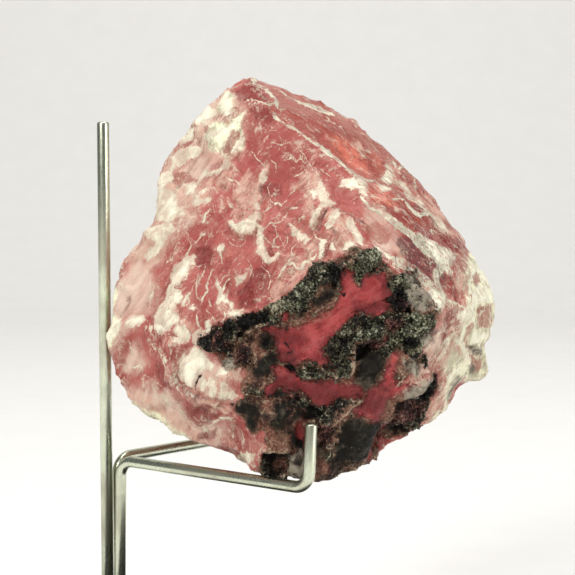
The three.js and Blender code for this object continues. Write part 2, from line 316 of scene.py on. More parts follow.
def wire_surface(line, along, diameter):
    """Rings round each station of a line, square to it; the last rings close over a rounded tip,
    and the first one is drawn in to a point inside the base."""
    flat = along[len(along) // 2] * [1, 1, 0] + [1e-6, 0, 0]
    side = np.cross(flat / np.linalg.norm(flat), [0, 0, 1])
    turn = np.linspace(0, np.pi / 2, tip_steps)
    cap = line[-1] - along[-1] * tip_round + np.sin(turn)[:, None] * tip_round * along[-1]
    centre = np.concatenate([line[:1], line[:-1], cap])
    facing = np.concatenate([along[:1], along[:-1], np.repeat(along[-1:], tip_steps, 0)])
    radius = np.full(len(centre), diameter / 2)
    radius[-tip_steps:] -= tip_round * (1 - np.cos(turn)) * tip_fall
    radius[0] = foot_end
    rows = np.concatenate([centre, centre[-1:]])
    facing = np.concatenate([facing, facing[-1:]])
    radius = np.append(radius, tip_end)
    other = np.cross(facing, side)
    other /= np.linalg.norm(other, axis=1)[:, None]
    first = np.cross(other, facing)
    angle = np.linspace(0, 2 * np.pi, wire_sides, endpoint=False)
    ring = np.cos(angle)[:, None] * first[:, None] + np.sin(angle)[:, None] * other[:, None]
    return rows[:, None] + radius[:, None, None] * ring


def wire_mesh(name, corners, diameter):
    """A wire of one diameter through its corners, as a mesh."""
    line, along = bent_line(corners, arm_bend)
    return surface_mesh(name, wire_surface(line, along, diameter), wrap_v=True)


def arm_corners(run):
    """An arm's corners: up from its foot to its shoulder, level out to its hook, and up again."""
    foot, shoulder, hook = run
    return [
        (*foot, rod_bottom),
        (*shoulder, arm_height),
        (*hook, arm_height),
        (hook[0] + hook_lean, hook[1], hook_top),
    ]


steel, tree, shader = new_material("drawn_steel", Metallic=1.0)
place = add_node(tree, "TexCoord").outputs["Object"]
draw_marks = add_node(tree, "Mapping", {"Vector": place, "Scale": (1, 1, 0.06)}).outputs[0]
scratches = noise(draw_marks, 0.00022, 3, 0.7)
tarnish = noise(place, 0.011, 5, 0.6)
shade = mixed(rise(tarnish, 0.35, 0.7), paint(208, 214, 192), paint(184, 184, 164))
shade = mixed(rise(scratches, 0.55, 0.7, 0, 0.35), shade, paint(140, 136, 126))
dull = number("ADD", rise(tarnish, 0.3, 0.75, 0.2, 0.34), rise(scratches, 0.3, 0.7, 0, 0.1))
dress(shader, shade, dull, scratches, 0.00002, 0.35)

post_corners = [(*post_foot, rod_bottom), (*post_foot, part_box("back_post")[1].z)]
wires = [
    ("steel_post", "back_post", post_corners, post_diameter),
    ("steel_front_arm", "front_arm", arm_corners(front_run), arm_diameter),
    ("steel_rear_arm", "rear_arm", arm_corners(rear_run), arm_diameter),
]
for name, node, corners, diameter in wires:
    wire = show(name, wire_mesh(name, corners, diameter), steel)
    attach(wire, "root")
    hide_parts(node)

# ---- Stone: its form -------------------------------------------------------------------------
# One broken lump of massive stone, pink and half clear, with a mass of dark grainy matrix at its
# lower front. Its faces are fractures: shallow dishes that meet in sharp edges, with crumbs along
# the ledges. Lengths in this section are millimetres until the mesh is made.
divisions = 128  # of each side of a patch
display_pull = 1.45  # how many times finer the grid is on the display side than a plain one
heart = np.array([3.0, 2.0, 104.0])  # a place well inside the stone
outer_radius = 78.0  # of a ball round it that holds the whole stone
form_smoothing = 0.5  # how far a place moves to the middle of its neighbours in one round
form_rounds = 8
edge_hold = 0.3  # how much less it moves at the long edges
facing_rounds = 40  # that even out which places face the viewer


def ball_grid(divisions, pull):
    """Directions over a sphere, and the quads that join them. Each face of a cube carries a grid of
    tan(a), tan(b) with a and b even from -45 to 45 degrees, drawn out to length one. Then every
    direction slides towards -Y, by dividing its flat picture seen from the +Y pole by `pull`."""
    step = np.tan(np.linspace(-np.pi / 4, np.pi / 4, divisions + 1))
    a, b = np.meshgrid(step, step, indexing="ij")
    points, quads = [], []
    index = np.arange((divisions + 1) ** 2).reshape(divisions + 1, -1)
    patch = np.stack([index[:-1, :-1], index[1:, :-1], index[1:, 1:], index[:-1, 1:]], -1).reshape(-1, 4)
    for axis in range(3):
        for sign in (1, -1):
            face = np.zeros((*a.shape, 3))
            face[..., axis] = sign
            face[..., (axis + 1) % 3] = a * sign
            face[..., (axis + 2) % 3] = b
            quads.append(patch + len(points) * index.size)
            points.append(face.reshape(-1, 3))
    points, quads = np.concatenate(points), np.concatenate(quads)
    _, first, same = np.unique(np.round(points * 1e6), axis=0, return_index=True, return_inverse=True)
    points, quads = points[first], same.ravel()[quads]
    x, y, z = (points / np.linalg.norm(points, axis=1)[:, None]).T
    share = (1 - y) + (1 + y) / pull**2
    y = ((1 + y) / pull**2 - (1 - y)) / share
    return np.stack([2 * x / pull / share, y, 2 * z / pull / share], 1), quads


def outward_normals(points, quads):
    """The mean of the normals of the quads round each point."""
    corner = points[quads]
    facing = np.cross(corner[:, 2] - corner[:, 0], corner[:, 3] - corner[:, 1])
    total = [np.bincount(quads.ravel(), np.repeat(facing[:, k], 4), len(points)) for k in range(3)]
    total = np.stack(total, 1)
    return total / np.linalg.norm(total, axis=1)[:, None]


def relaxed(points, quads, share, rounds):
    """Each point moves `share` of the way to the mean of its neighbours, `rounds` times."""
    start = quads.ravel()
    end = np.roll(quads, -1, 1).ravel()
    count = np.bincount(start, minlength=len(points))
    for _ in range(rounds):
        mean = [np.bincount(start, points[end, k], len(points)) / count for k in range(3)]
        points = points + share[:, None] * (np.stack(mean, 1) - points)
    return points


def wrapped(directions, quads, target):
    """The ball shrunk onto a solid: every point goes in along its normal to the first face it meets."""
    blank = bpy.data.meshes.new("blank")
    blank.from_pydata(((heart + outer_radius * directions) / 1000).tolist(), [], quads.tolist())
    ball = bpy.data.objects.new("blank", blank)
    scene.collection.objects.link(ball)
    wrap = ball.modifiers.new("wrap", "SHRINKWRAP")
    wrap.target = target
    wrap.wrap_method = "PROJECT"
    wrap.use_positive_direction = False
    wrap.use_negative_direction = True
    shaped = ball.evaluated_get(bpy.context.evaluated_depsgraph_get()).data
    points = np.zeros(len(shaped.vertices) * 3)
    shaped.vertices.foreach_get("co", points)
    bpy.data.objects.remove(ball)
    bpy.data.meshes.remove(blank)
    return points.reshape(-1, 3) * 1000


def in_view(points):
    """Where points, in millimetres, fall in the display view, in pixels from its upper left corner:
    the distance across or up, times the focal length, over the distance along the view."""
    away = points / 1000 - view_place
    depth = away @ view_along
    across = view_side / 2 + focal_length * away[:, 0] / depth
    down = view_side / 2 - focal_length * (away @ view_up) / depth
    return np.stack([across, down], 1)


def to_path(spots, path):
    """Each spot's distance to a path of corners, and how far along each leg its nearest place is."""
    path = np.array(path, float)
    start, leg = path[:-1, :2], np.diff(path[:, :2], axis=0)
    away = spots[:, None] - start
    share = np.clip((away * leg).sum(2) / np.maximum((leg**2).sum(1), 1e-9), 0, 1)
    return np.linalg.norm(away - share[..., None] * leg, axis=2), share


pixels_per_mm = 3.8  # in the view, at the stone


def area(spots, outline):
    """Millimetres from each spot in the view to a closed outline, positive inside it: the least
    distance to its edges, signed by how many edges a level line from the spot crosses."""
    closed = np.array(outline + outline[:1], float)
    distance = to_path(spots, closed)[0].min(1)
    (x0, y0), (x1, y1) = closed[:-1].T, closed[1:].T
    x, y = spots[:, :1], spots[:, 1:]
    level = (y0 > y) != (y1 > y)
    rise_per = np.where(y1 == y0, 1e-9, y1 - y0)
    crossed = level & (x < x0 + (y - y0) * (x1 - x0) / rise_per)
    return np.where(crossed.sum(1) % 2, distance, -distance) / pixels_per_mm


def streak(spots, path):
    """Like area, for a streak whose half width changes evenly between its corners (x, y, half)."""
    distance, share = to_path(spots, path)
    half = np.array(path, float)[:, 2]
    return (half[:-1] + share * np.diff(half) - distance).max(1) / pixels_per_mm


def beside(spots, path):
    """Each spot's distance to a path, positive at the left hand of someone who walks it, with the
    leg that is nearest and how far along that leg the nearest place is."""
    corners = np.array(path, float)
    leg = np.diff(corners[:, :2], axis=0)
    distance, share = to_path(spots, path)
    away = spots[:, None] - corners[:-1, :2]
    square = (leg[:, 1] * away[..., 0] - leg[:, 0] * away[..., 1]) / np.linalg.norm(leg, axis=1)
    row = np.arange(len(spots))
    near = np.argmin(distance - 0.001 * np.abs(square), axis=1)
    return distance[row, near] * np.sign(square[row, near]), near, share[row, near]


def soft(value, low, high):
    """A smooth step from 0 to 1 as value goes from low to high: 3t^2 - 2t^3."""
    t = np.clip((value - low) / (high - low), 0, 1)
    return t * t * (3 - 2 * t)


def chance(cells, seed):
    """An even but unordered number from 0 to 1 for each whole-number cell: its indices are multiplied
    by large primes, joined with exclusive or, and folded over themselves."""
    i, j, k = (cells[..., axis].astype(np.int64) for axis in range(3))
    mix = (i * 73856093) ^ (j * 19349663) ^ (k * 83492791) ^ (seed * 40503 + 977)
    for factor in (0x2C1B3C6D, 0x297A2D39):
        mix = ((mix ^ (mix >> 15)) * factor) & 0xFFFFFFFF
    return ((mix ^ (mix >> 15)) & 0xFFFFFF) / 0xFFFFFF


def clouds(points, size, seed, octaves=4):
    """Smooth noise from -1 to 1: chance numbers on a lattice of `size`, blended between its corners,
    plus the same at half the size and half the height, and so on."""
    total = np.zeros(len(points))
    height = 1.0
    for octave in range(octaves):
        at = points / size * 2**octave + 7.31 * octave
        cell = np.floor(at)
        t = at - cell
        t = t * t * (3 - 2 * t)
        for corner in np.ndindex(2, 2, 2):
            weight = np.prod(np.where(corner, t, 1 - t), axis=1)
            total += height * weight * (2 * chance(cell + corner, seed + octave) - 1)
        height /= 2
    return total / (2 - 2 * height)


def dishes(points, size, seed):
    """Shallow dishes that meet in sharp edges: the squared distance, in cells of `size`, to the
    nearest of one random centre per cell; a number from 0 to 1 for each dish; and roughly how many
    millimetres it is to the edge of the dish, from the nearest centre and the second nearest."""
    at = points / size
    cell = np.floor(at)
    nearest = np.full(len(at), 9.0)
    second = np.full(len(at), 9.0)
    own = np.zeros(len(at))
    for step in np.ndindex(3, 3, 3):
        here = cell + step - 1
        centre = here + np.stack([chance(here, seed + axis) for axis in range(3)], 1)
        away = ((at - centre) ** 2).sum(1)
        own = np.where(away < nearest, chance(here, seed + 3), own)
        second = np.minimum(second, np.maximum(away, nearest))
        nearest = np.minimum(nearest, away)
    return nearest, own, size * (np.sqrt(second) - np.sqrt(nearest)) / 2


# The long edges that part the faces, in view pixels: these stay sharper than the rest.
ridge_line = [(250, 82), (262, 100), (279, 117), (306, 138), (333, 159), (355, 177), (368, 200)]
ridge_line += [(395, 221), (421, 244), (447, 270)]
crest_line = [(262, 80), (290, 92), (319, 106), (346, 134), (388, 152), (434, 202), (470, 256)]

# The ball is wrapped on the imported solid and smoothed, but less at its long edges.
directions, quads = ball_grid(divisions, display_pull)
form = wrapped(directions, quads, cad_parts["fluorite_lump"])
spots = in_view(form)
near_edge = np.minimum(to_path(spots, ridge_line)[0].min(1), to_path(spots, crest_line)[0].min(1))
form = relaxed(form, quads, form_smoothing - edge_hold * soft(-near_edge, -9, -3), form_rounds)
normals = outward_normals(form, quads)
# The display side is where the form faces the viewer, evened out over its neighbourhood.
to_viewer = view_place * 1000 - form
to_viewer /= np.linalg.norm(to_viewer, axis=1)[:, None]
facing = (normals * to_viewer).sum(1)
halfway = np.full(len(form), 0.5)
facing = relaxed(np.stack([facing] * 3, 1), quads, halfway, facing_rounds)[:, 0]
shown = soft(facing, -0.5, -0.2)
spots = in_view(form)

# ---- Stone: its markings ---------------------------------------------------------------------
# Each mark is drawn on the display side as an outline or a streak in view pixels, and fades into
# noise of the same kind on the sides, the back and the underside. A mark is kept as the distance in
# millimetres to its edge, so that the material can fray it.


def outlines(*drawn, each=2):
    """Outlines in view pixels, each written as x and y of one corner after another, or as more
    numbers for each corner."""
    return [np.array(one.split(), float).reshape(-1, each).tolist() for one in drawn]


def strokes(*drawn):
    """Streaks in view pixels, each written as x, y and half the width at one corner after another."""
    return outlines(*drawn, each=3)


# Where the stone was bruised or cleaved it is chalky white.
white_patches = outlines(
    # the upper left flank, from the top down
    "222 96 226 91 231 89 230 98 234 107 232 113 227 117 222 110 219 105",
    "209 134 217 129 226 129 233 124 240 118 238 126 231 132 224 136 217 137 213 143 206 146",
    "201 147 196 145 188 149 178 152 173 158 173 164 168 172 173 173 184 166 190 160 198 155",
    "242 136 245 136 243 143 241 150 234 154 231 152 236 147 238 141",
    "226 160 233 159 232 165 224 170 216 174 208 176 202 178 198 185 196 181 199 174 203 168 209 170 "
    "217 170 222 166",
    "204 187 208 188 205 193 200 197 198 194",
    "204 112 212 106 218 110 214 118 206 124 198 128 197 120",
    "180 140 188 132 194 128 196 134 190 142 182 147",
    "162 176 170 170 176 176 172 186 164 190 159 184",
    "186 184 194 180 196 188 190 196 184 194",
    "190 197 196 193 200 199 209 197 212 200 208 205 200 205 194 208 191 203",
    "159 187 164 181 170 190 179 196 178 206 187 213 189 217 178 218 170 223 158 222 152 213 155 200",
    "145 231 154 227 164 224 174 222 176 230 168 238 164 246 156 256 148 262 144 256 152 246 155 241 "
    "149 238",
    # the great bruise down the left cheek, and the plate below it
    "171 288 180 290 185 297 181 304 174 306 169 299",
    "196 256 187 256 181 261 176 268 171 276 172 282 168 289 166 296 162 304 156 314 153 320 156 325 "
    "162 327 168 331 172 333 173 327 181 324 186 329 189 326 180 318 177 314 176 305 171 298 174 290 "
    "182 282 188 273 193 264",
    "171 341 174 337 180 336 191 337 190 341 180 343",
    "176 325 184 325 190 331 192 338 186 342 179 338 173 333",
    "190 334 198 328 203 333 201 341 196 347 191 343",
    "203 323 212 322 213 328 206 332",
    "228 313 238 309 246 311 240 317 230 319",
    "192 293 187 296 183 303 183 308 187 307 190 301",
    "193 304 197 308 194 311 190 309",
    "215 250 218 246 223 244 223 250 219 254",
    "216 276 219 283 222 291 227 299 234 301 236 311 243 312 247 316 242 320 236 320 232 311 229 304 "
    "221 302 219 308 217 301 217 290 215 283",
    "234 277 241 276 249 271 245 280 238 287 235 283",
    # the loose flake's lower rim and its upper arm
    "262 173 266 169 267 173 265 180 262 184 260 180",
    "255 206 259 202 262 208 261 214 256 214",
    "228 221 233 220 238 226 246 222 253 216 258 211 262 213 260 220 257 228 252 235 240 235 233 232",
    "258 222 262 226 264 234 264 244 267 252 272 257 276 256 279 252 281 256 277 262 269 264 262 261 "
    "257 253 256 243 256 232",
    "287 222 292 225 300 231 308 236 311 241 306 246 300 241 293 236 290 229",
    # the ledge to the right of it
    "321 179 326 190 330 199 335 204 329 206 324 212 320 222 314 231 309 229 313 222 318 214 320 204 "
    "318 196 313 199 311 192 316 186",
    "323 241 329 240 327 250 322 262 318 261 320 250",
    "331 242 335 246 335 255 331 249",
    "325 227 330 221 333 214 337 210 342 215 339 222 334 226 329 231",
    "345 219 350 217 354 225 359 233 364 240 362 246 356 245 350 236 346 227",
    "342 247 350 244 360 250 352 252 346 251",
    # along the long ridge and under it
    "355 172 362 176 367 180 368 190 369 200 362 197 358 190 352 191 344 188 338 190 341 183 346 178 "
    "352 176",
    "424 300 428 292 433 288 439 289 443 298 442 310 436 316 430 313 424 308",
    "154 322 162 322 168 330 162 335 155 329",
    "436 262 442 262 450 267 457 272 453 277 445 273 440 279 442 290 438 289 433 279",
    "385 166 390 163 393 170 396 180 391 185 384 181 382 176 386 172",
    "378 186 385 186 391 190 386 193 380 192",
    "396 179 402 183 409 191 417 199 426 206 436 213 443 222 448 232 441 232 432 223 424 215 414 206 "
    "404 194 398 185",
    "415 233 424 236 432 241 440 247 450 250 456 256 454 265 450 271 440 267 430 259 424 251 418 243",
    # left tip, the knob beside the matrix, and the foot
    "124 320 133 315 143 315 145 320 140 326 132 328 126 330",
    "192 345 198 349 205 354 212 361 215 366 208 371 201 373 195 379 191 388 184 386 178 380 176 374 178 "
    "368 181 363 186 354",
    "197 378 204 375 207 383 204 394 197 393 194 386",
    "209 377 216 379 218 388 214 399 208 398 209 387",
    "220 380 228 385 229 393 222 399 218 397 221 389",
    "228 389 233 390 238 396 232 400 226 398",
    "218 366 226 366 230 372 224 376 218 373",
    "203 423 207 424 209 431 205 430",
    "235 453 246 452 257 452 255 460 248 464 240 461",
    # the right end
    "458 352 463 346 468 349 469 356 465 359 459 359",
    "471 298 475 289 481 285 488 287 491 295 489 303 483 302 477 305 473 312 468 322 463 331 461 327 "
    "464 316 467 306",
    "478 268 484 274 489 283 486 285 480 280 476 273",
    "470 344 474 334 482 331 490 332 488 338 480 342",
    "470 262 474 258 480 268 488 278 486 284 478 276 473 270",
    "455 310 460 308 464 300 466 296 465 304 462 316 462 326 458 332 455 322",
    "455 335 460 336 463 342 460 347 455 344",
    "437 286 441 288 445 296 445 304 440 309 432 313 430 311 437 306 440 300 437 293",
    "104 336 108 326 114 318 122 322 118 332 112 341 106 343",
    "441 385 444 378 448 372 453 369 453 374 447 381 444 386",
    "425 431 432 421 442 414 447 406 449 410 440 420 430 430",
)
white_streaks = strokes(
    "388 214 1.2 398 223 2.4 408 232 2.6 418 242 1.6",
    "374 244 .8 390 259 1.2 400 262 1.8 407 265 1.1 419 270 .8 431 281 1.1 441 289 1",
    "392 256 .5 404 259 .8 416 265 .7 428 275 .8 438 284 .7",
    "388 262 .5 398 270 .7 408 279 .5 418 288 .7 427 296 .6",
    "404 268 .4 414 276 .6 424 286 .8 430 292 .6",
    "472 291 .7 467 300 .9 463 309 1 459 322 1 460 329 .6",
    "468 316 .5 465 324 .8 463 332 .5",
    "485 306 .6 481 316 .8 480 326 .9 483 332 .7",
    "492 303 .7 494 312 .8 493 324 .7",
    "474 342 .6 475 334 .9 478 324 .8 479 312 .6",
    "463 362 .5 470 367 .8 478 374 .8 484 378 .5",
    "444 382 .5 452 372 .9 460 364 .7",
    "452 300 .4 456 308 .6 457 320 .6 452 332 .6 446 344 .5",
    "432 368 .4 438 356 .6 446 344 .6 452 334 .5",
    "440 392 .5 444 384 .7 446 378 .5",
    # facet edges of the lower left
    "153 333 .4 159 342 .6 164 349 .6 169 357 .7 172 367 .5",
    "146 328 .4 152 336 .5 158 347 .6 163 357 .5",
    "120 365 .5 132 366 .7 138 369 .5 149 376 .6 159 383 .5 169 391 .4",
    "165 394 .6 168 401 .9 169 409 .7",
    "171 400 .5 180 404 .6 184 411 .7 181 418 .5",
    "130 340 .5 131 345 .8 132 350 .5",
    "233 421 .4 233 430 .6 233 440 .4",
    # the crest and the apex
    "249 76 1 256 82 1.4 264 87 1.4 270 92 2 274 98 2 277 106 2.4",
    "250 104 .8 255 101 .9 261 102 1.2 266 104 1.6 270 106 1",
    "256 85 .6 261 93 .7",
    "281 90 1 288 94 1.2 300 100 1.8 310 104 2.2 318 107 2.8 326 112 2 332 116 1.2",
    "327 119 .6 334 124 .7 340 130 .8 344 135 .7",
    "367 134 1.5 373 138 2 380 144 1.4",
    "388 158 .7 392 165 .8 397 171 1.2 403 167 2",
    "405 172 .8 412 180 .9 414 188 .9 418 197 .7",
    # the long ridge; the first two streaks are a painted highlight along its edge
    "276 118 2 283 123 1.6 295 129 1.5 306 138 1.5 316 145 1.5 324 151 1.5 332 157 1.5 341 163 1.6 350 "
    "169 1.8 356 173 1.8",
    "362 199 1.8 370 207 2.2 380 213 1.8 390 220 1.8 400 228 2 410 237 2 420 247 1.6 430 257 1.4 440 "
    "266 1.4 450 273 1",
    "360 174 1 368 179 1.2 376 181 1 379 186 .8",
    "368 191 .6 376 197 .8 384 202 .6",
    "391 200 1.2 398 202 1 404 205 1.4 410 211 1.8 418 216 2.2 425 218 1.2",
    "376 246 1.4 384 253 2 392 259 2.8 400 263 3.8 408 266 3 416 271 1.5 424 279 1.7 432 287 1.8 439 "
    "295 2.4 443 305 1.4",
    "412 266 .7 420 270 .8 428 276 .8 436 284 .7",
    "430 231 .8 437 235 .8",
    "449 244 .6 455 248 .8 463 252 .6",
    "419 226 .8 424 230 1",
    # the arc under the flake, and the fine broken edges round it
    "266 252 .8 270 257 .8 275 256 .7",
    "264 229 .8 269 224 1 275 224 1.2 282 221 .9 286 215 .8 288 212 .6",
    "273 224 .8 276 230 .8 277 237 .7",
    "265 238 .8 270 244 .8",
    "279 237 .8 275 240 1 273 246 1.2 279 247 1 283 245 .8 281 239 .8",
    "288 237 .8 287 243 .9",
    "272 200 .7 275 205 1.2 279 203 1 282 207 .9 287 201 .7",
    "291 209 1.2 297 208 1",
    "266 210 .8 270 208 .7",
    "295 175 .8 300 173 .8",
    "313 232 .8 317 239 1 323 243 .8",
    "297 246 .6 292 249 .8 292 255 1 296 254 .7",
    "279 277 1 284 271 1.4 288 264 1.2 293 259 1",
    "290 266 1 294 265 1.5 298 270 1 302 269 1.4 304 264 1.4 309 262 1.2 313 261 1.6 317 258 1.2",
    "268 306 .8 276 304 1.4 280 299 .8",
    # hairlines of the tall pink face
    "246 103 .6 250 99 .7 256 99 .6",
    "300 150 .5 305 156 .7 309 164 .6 316 172 .7 320 178 .6",
    "286 160 .6 292 158 .8 296 162 .8 300 158 .9 303 162 .8",
    "282 152 .5 290 154 .7 294 157 .5",
    "320 168 .5 324 172 .8 329 175 .6",
    "247 226 .5 244 240 .6 238 248 .5",
    "290 196 .6 294 190 .7 292 184 .5",
    "272 180 .5 268 187 .6 270 194 .5",
    "248 260 .5 252 268 .7 250 276 .6",
    "262 268 .6 268 272 .6 270 280 .8 268 288 .6",
    "240 262 .5 234 268 .6 236 276 .5",
    "212 230 .5 208 236 .7 204 246 .5",
    "226 236 .5 230 242 .7 236 244 .5",
    "296 226 .5 300 220 .8 306 218 .6",
    "300 248 .6 306 250 .8 312 247 .6",
    "188 300 .6 192 292 .8 194 284 .6",
    "208 312 .7 214 316 .8 216 322 .6",
    "224 308 .6 226 316 .8 224 322 .6",
    "252 152 .6 257 158 .7 263 166 .7",
    "271 160 .5 276 165 .7 276 171 .7",
    "271 131 .6 278 132 .6",
    "272 143 .5 282 144 .6 288 142 .5",
    "209 210 1.2 206 215 1.2 203 222 .8",
    "213 205 .6 216 215 .6",
    "190 239 .8 192 246 1 187 256 1.2",
    "194 241 .8 196 245 .9 200 238 .8 204 233 1.1",
    "165 265 .7 170 261 .9 174 262 1 176 256 .7",
    "212 270 .8 208 278 1 206 286 1.2 208 290 1 205 297 1.2 202 301 1.6",
    "205 267 .7 202 275 .9 199 281 1",
    "198 274 .7 196 282 .9 197 292 .9 199 299 .8",
    "230 279 .6 225 284 .8 222 292 1.1",
    "220 252 1 221 262 .8",
    "197 316 1 197 324 1.4 201 331 2 205 331 1.2",
    "210 301 .9 211 306 .9",
    "227 200 1.8 231 206 2.2",
    "235 167 1 238 172 1.2",
    "228 178 1 233 181 .9 240 184 1",
    # the lower left
    "131 341 1.2 131 348 1 133 354 .8",
    "120 364 1.3 124 364 1",
    "136 366 1 140 365 1.9 142 368 1",
    "166 356 .8 170 362 .8 172 368 .7",
    "166 395 1.2 169 403 1.6",
    "214 423 1 221 418 1.4 230 419 1.2",
    "241 432 1.2 243 440 1.2 241 448 1",
    "151 294 1.8 148 303 1.4 146 310 .8",
    "131 250 1.8 124 260 1.4 120 272 .9",
    # blades of the right end
    "447 300 1 452 302 1.6 459 307 1.2",
    "468 298 1.4 461 314 1.6 456 330 1.6 448 346 2 440 362 1.6",
    "476 300 1.6 470 318 1.4 462 338 1.6",
    "428 352 1.4 436 340 1.2 441 326 .9",
    "441 388 1 446 384 1.2",
    "453 332 .8 446 342 1.2 440 352 1 433 361 .6",
    "459 338 1 452 350 1.4 446 362 1.2 440 372 .8",
    "463 343 .7 457 354 .9 451 365 .7 447 371 .5",
    "473 262 1.2 473 272 1.4 471 283 1.6 469 296 1.2",
    "466 274 .6 465 284 .8 463 294 .6",
    "461 270 .5 459 279 .8 461 288 .5",
    "448 300 .6 450 304 1.2 447 308 .5",
    "452 300 .6 455 303 1.4 458 307 .6",
    "440 342 .5 437 349 .7 433 354 .5",
    "434 412 .8 440 410 1.6 445 407 1",
    "396 179 .6 405 193 1.2 415 206 1.4 425 216 1.4 434 227 1.3 444 236 .8",
    "414 234 .7 424 244 1.2 434 254 1.4 444 264 1.2 453 271 .8",
    # fine lines of the lower left; the first two are painted highlights, along a rim and on a bright spot
    "186 414 .3 190 420 .5 197 424 .6 206 426 .6 214 424 .6 224 420 .5 232 419 .4",
    "205 425 .6 206 429 1.4 208 432 .6",
    "153 381 .4 155 385 1 157 388 .5",
    "154 388 .4 157 391 1 160 396 .5",
    "176 371 .5 176 379 .7 179 388 .8 184 394 .6",
    "148 322 .4 152 328 1 154 333 .5",
    "184 344 .4 178 346 .6 172 344 .4",
    # thin pale seams in the matrix
    "354 342 .5 355 356 .8 353 367 .9 349 377 1 337 378 .9 324 372 .8 313 373 .8 305 369 .6",
    "352 400 .4 340 404 .7 328 408 .7 320 418 .6 316 430 .4",
    "421 357 .6 411 367 1 402 376 1.1 396 386 .7",
    "426 383 .7 415 389 1 404 396 .8",
    "413 290 .6 411 300 .7 416 309 .6",
    "276 306 1 282 301 1.3 291 296 .8",
    "290 398 .5 300 402 .6 306 412 .5",
    "334 438 .5 329 452 .7 322 462 .5",
    "357 401 .8 349 409 1 340 417 1 331 425 .7",
    "259 400 .5 270 405 .6 282 403 .5",
    "312 314 .8 322 307 1 334 301 .7",
)

# Frosted places: pale, but the pink shows through.
pale_patches = outlines(
    "214 176 226 167 236 163 241 171 231 182 222 191 213 188",
    "194 399 206 401 220 403 228 408 224 413 212 412 200 408",
    "118 388 132 392 146 398 160 402 166 412 180 414 186 424 198 430 204 440 196 446 176 440 150 426 "
    "126 408",
    "212 138 222 132 232 128 240 118 246 112 248 118 240 132 232 142 222 148 212 150",
    "230 88 221 95 209 106 198 111 188 120 182 131 196 122 194 136 196 146 188 151 200 152 203 158 216 "
    "162 221 154 219 147 232 144 238 150 242 138 241 126 248 113 249 105 238 98 232 97",
    "172 160 162 166 158 182 152 196 150 216 142 231 158 232 172 224 186 216 184 206 196 211 206 205 "
    "212 199 208 186 216 176 206 176 200 186 186 190 176 184 166 178 170 168",
    "126 256 140 244 156 232 172 236 170 246 162 258 148 266 138 262 130 266",
    "244 181 254 174 259 180 262 173 267 168 268 173 265 181 260 190 262 197 259 205 257 213 246 223 "
    "238 226 235 216 238 205 231 196 236 189",
    "298 172 306 170 316 174 322 182 318 194 312 206 314 216 306 212 308 200 304 192 297 192 292 186",
    "288 258 298 256 308 258 318 256 316 264 304 272 294 274 284 278 280 276",
    "306 250 314 244 322 246 318 258 308 260 300 256",
    "326 216 334 208 346 214 352 232 360 246 352 254 340 250 334 240 328 230",
    "268 306 276 302 286 296 293 288 302 279 306 270 298 270 290 278 284 285 276 283 269 290 272 298",
    "178 292 186 290 182 302 176 306 180 314 190 322 196 334 186 336 172 330 174 316 172 302",
    "336 114 347 118 353 123 345 123 338 119",
    "351 144 358 142 359 147 353 149",
    "414 188 426 197 440 210 452 226 464 246 472 262 478 270 470 270 462 252 448 236 440 222 428 206 "
    "418 200",
    "404 252 396 246 390 252 396 258 406 262",
    "430 288 440 296 444 310 436 314 428 312 430 300 424 292",
    "437 350 444 342 452 336 460 340 463 348 460 360 452 366 446 371 440 372 436 362",
    "460 268 468 266 472 276 470 288 466 298 460 302 458 290",
    "410 384 420 376 436 372 440 358 436 348 426 354 420 362 420 372 408 378",
    "440 384 446 392 442 404 436 414 428 424 420 430 426 412 432 396 436 386",
    "212 364 224 362 232 368 233 376 228 383 234 388 238 396 228 401 214 402 204 401 196 396 193 390 196 "
    "382 204 375 208 370",
    "444 372 456 366 468 376 462 384 452 396 448 408 440 416 432 428 424 434 420 430 432 416 444 404 "
    "446 390 442 382",
    "448 306 452 306 446 322 440 340 436 350 430 352 438 336 442 320",
    "224 440 232 430 233 442 230 450 226 448",
)

# Half clear places where white shows softly from within.
veils = outlines(
    "112 300 130 300 141 312 134 327 118 329 108 316",
    "198 386 214 386 226 392 230 402 214 405 202 399",
    "440 340 455 336 462 348 456 360 442 360",
    "120 384 132 380 144 386 158 384 166 396 172 405 186 404 190 414 200 424 204 440 190 438 170 428 "
    "150 414 132 400",
    "160 394 172 390 184 396 186 408 184 424 192 432 176 430 164 418 158 406",
    "110 292 122 268 136 246 150 250 160 262 148 270 152 285 158 298 150 314 136 318 112 316",
    "104 336 108 308 124 304 140 316 130 330 120 344 110 346",
    "366 206 380 212 398 230 404 244 394 254 380 246 372 232 362 220",
    "428 346 440 326 452 312 458 330 450 352 440 372 428 372 420 364",
    "180 404 196 420 212 424 230 418 232 436 214 442 196 434 184 420",
    "120 352 136 346 146 360 138 372 122 368",
    "182 130 198 112 222 96 240 97 250 108 243 128 240 150 222 158 200 152 188 148",
    "170 152 200 150 214 160 206 182 196 200 190 220 176 236 160 250 140 256 128 262 140 240 152 224 "
    "154 200 160 176",
    "186 350 198 346 212 360 228 366 232 380 222 398 200 400 182 388 176 374",
)

# Yellowish cream along the thin outer edges.
creams = outlines(
    "206 128 214 122 226 124 234 117 242 110 247 114 244 126 241 137 243 147 238 155 229 158 222 153 "
    "213 152 206 144",
    "222 94 229 89 234 93 236 104 234 114 226 118 219 112 218 102",
    "446 374 458 368 468 378 462 386 454 396 449 408 442 416 434 428 428 432 434 418 443 404 446 390",
    "459 262 470 252 485 268 497 290 500 317 496 336 488 346 495 354 494 368 484 380 470 386 460 378 "
    "450 372 446 382 445 366 456 346 460 316 467 297 469 276",
    "100 338 104 312 110 290 118 288 117 301 114 313 120 320 118 334 110 346",
    "126 398 140 406 160 417 176 427 190 434 204 448 180 446 150 432 124 410",
)
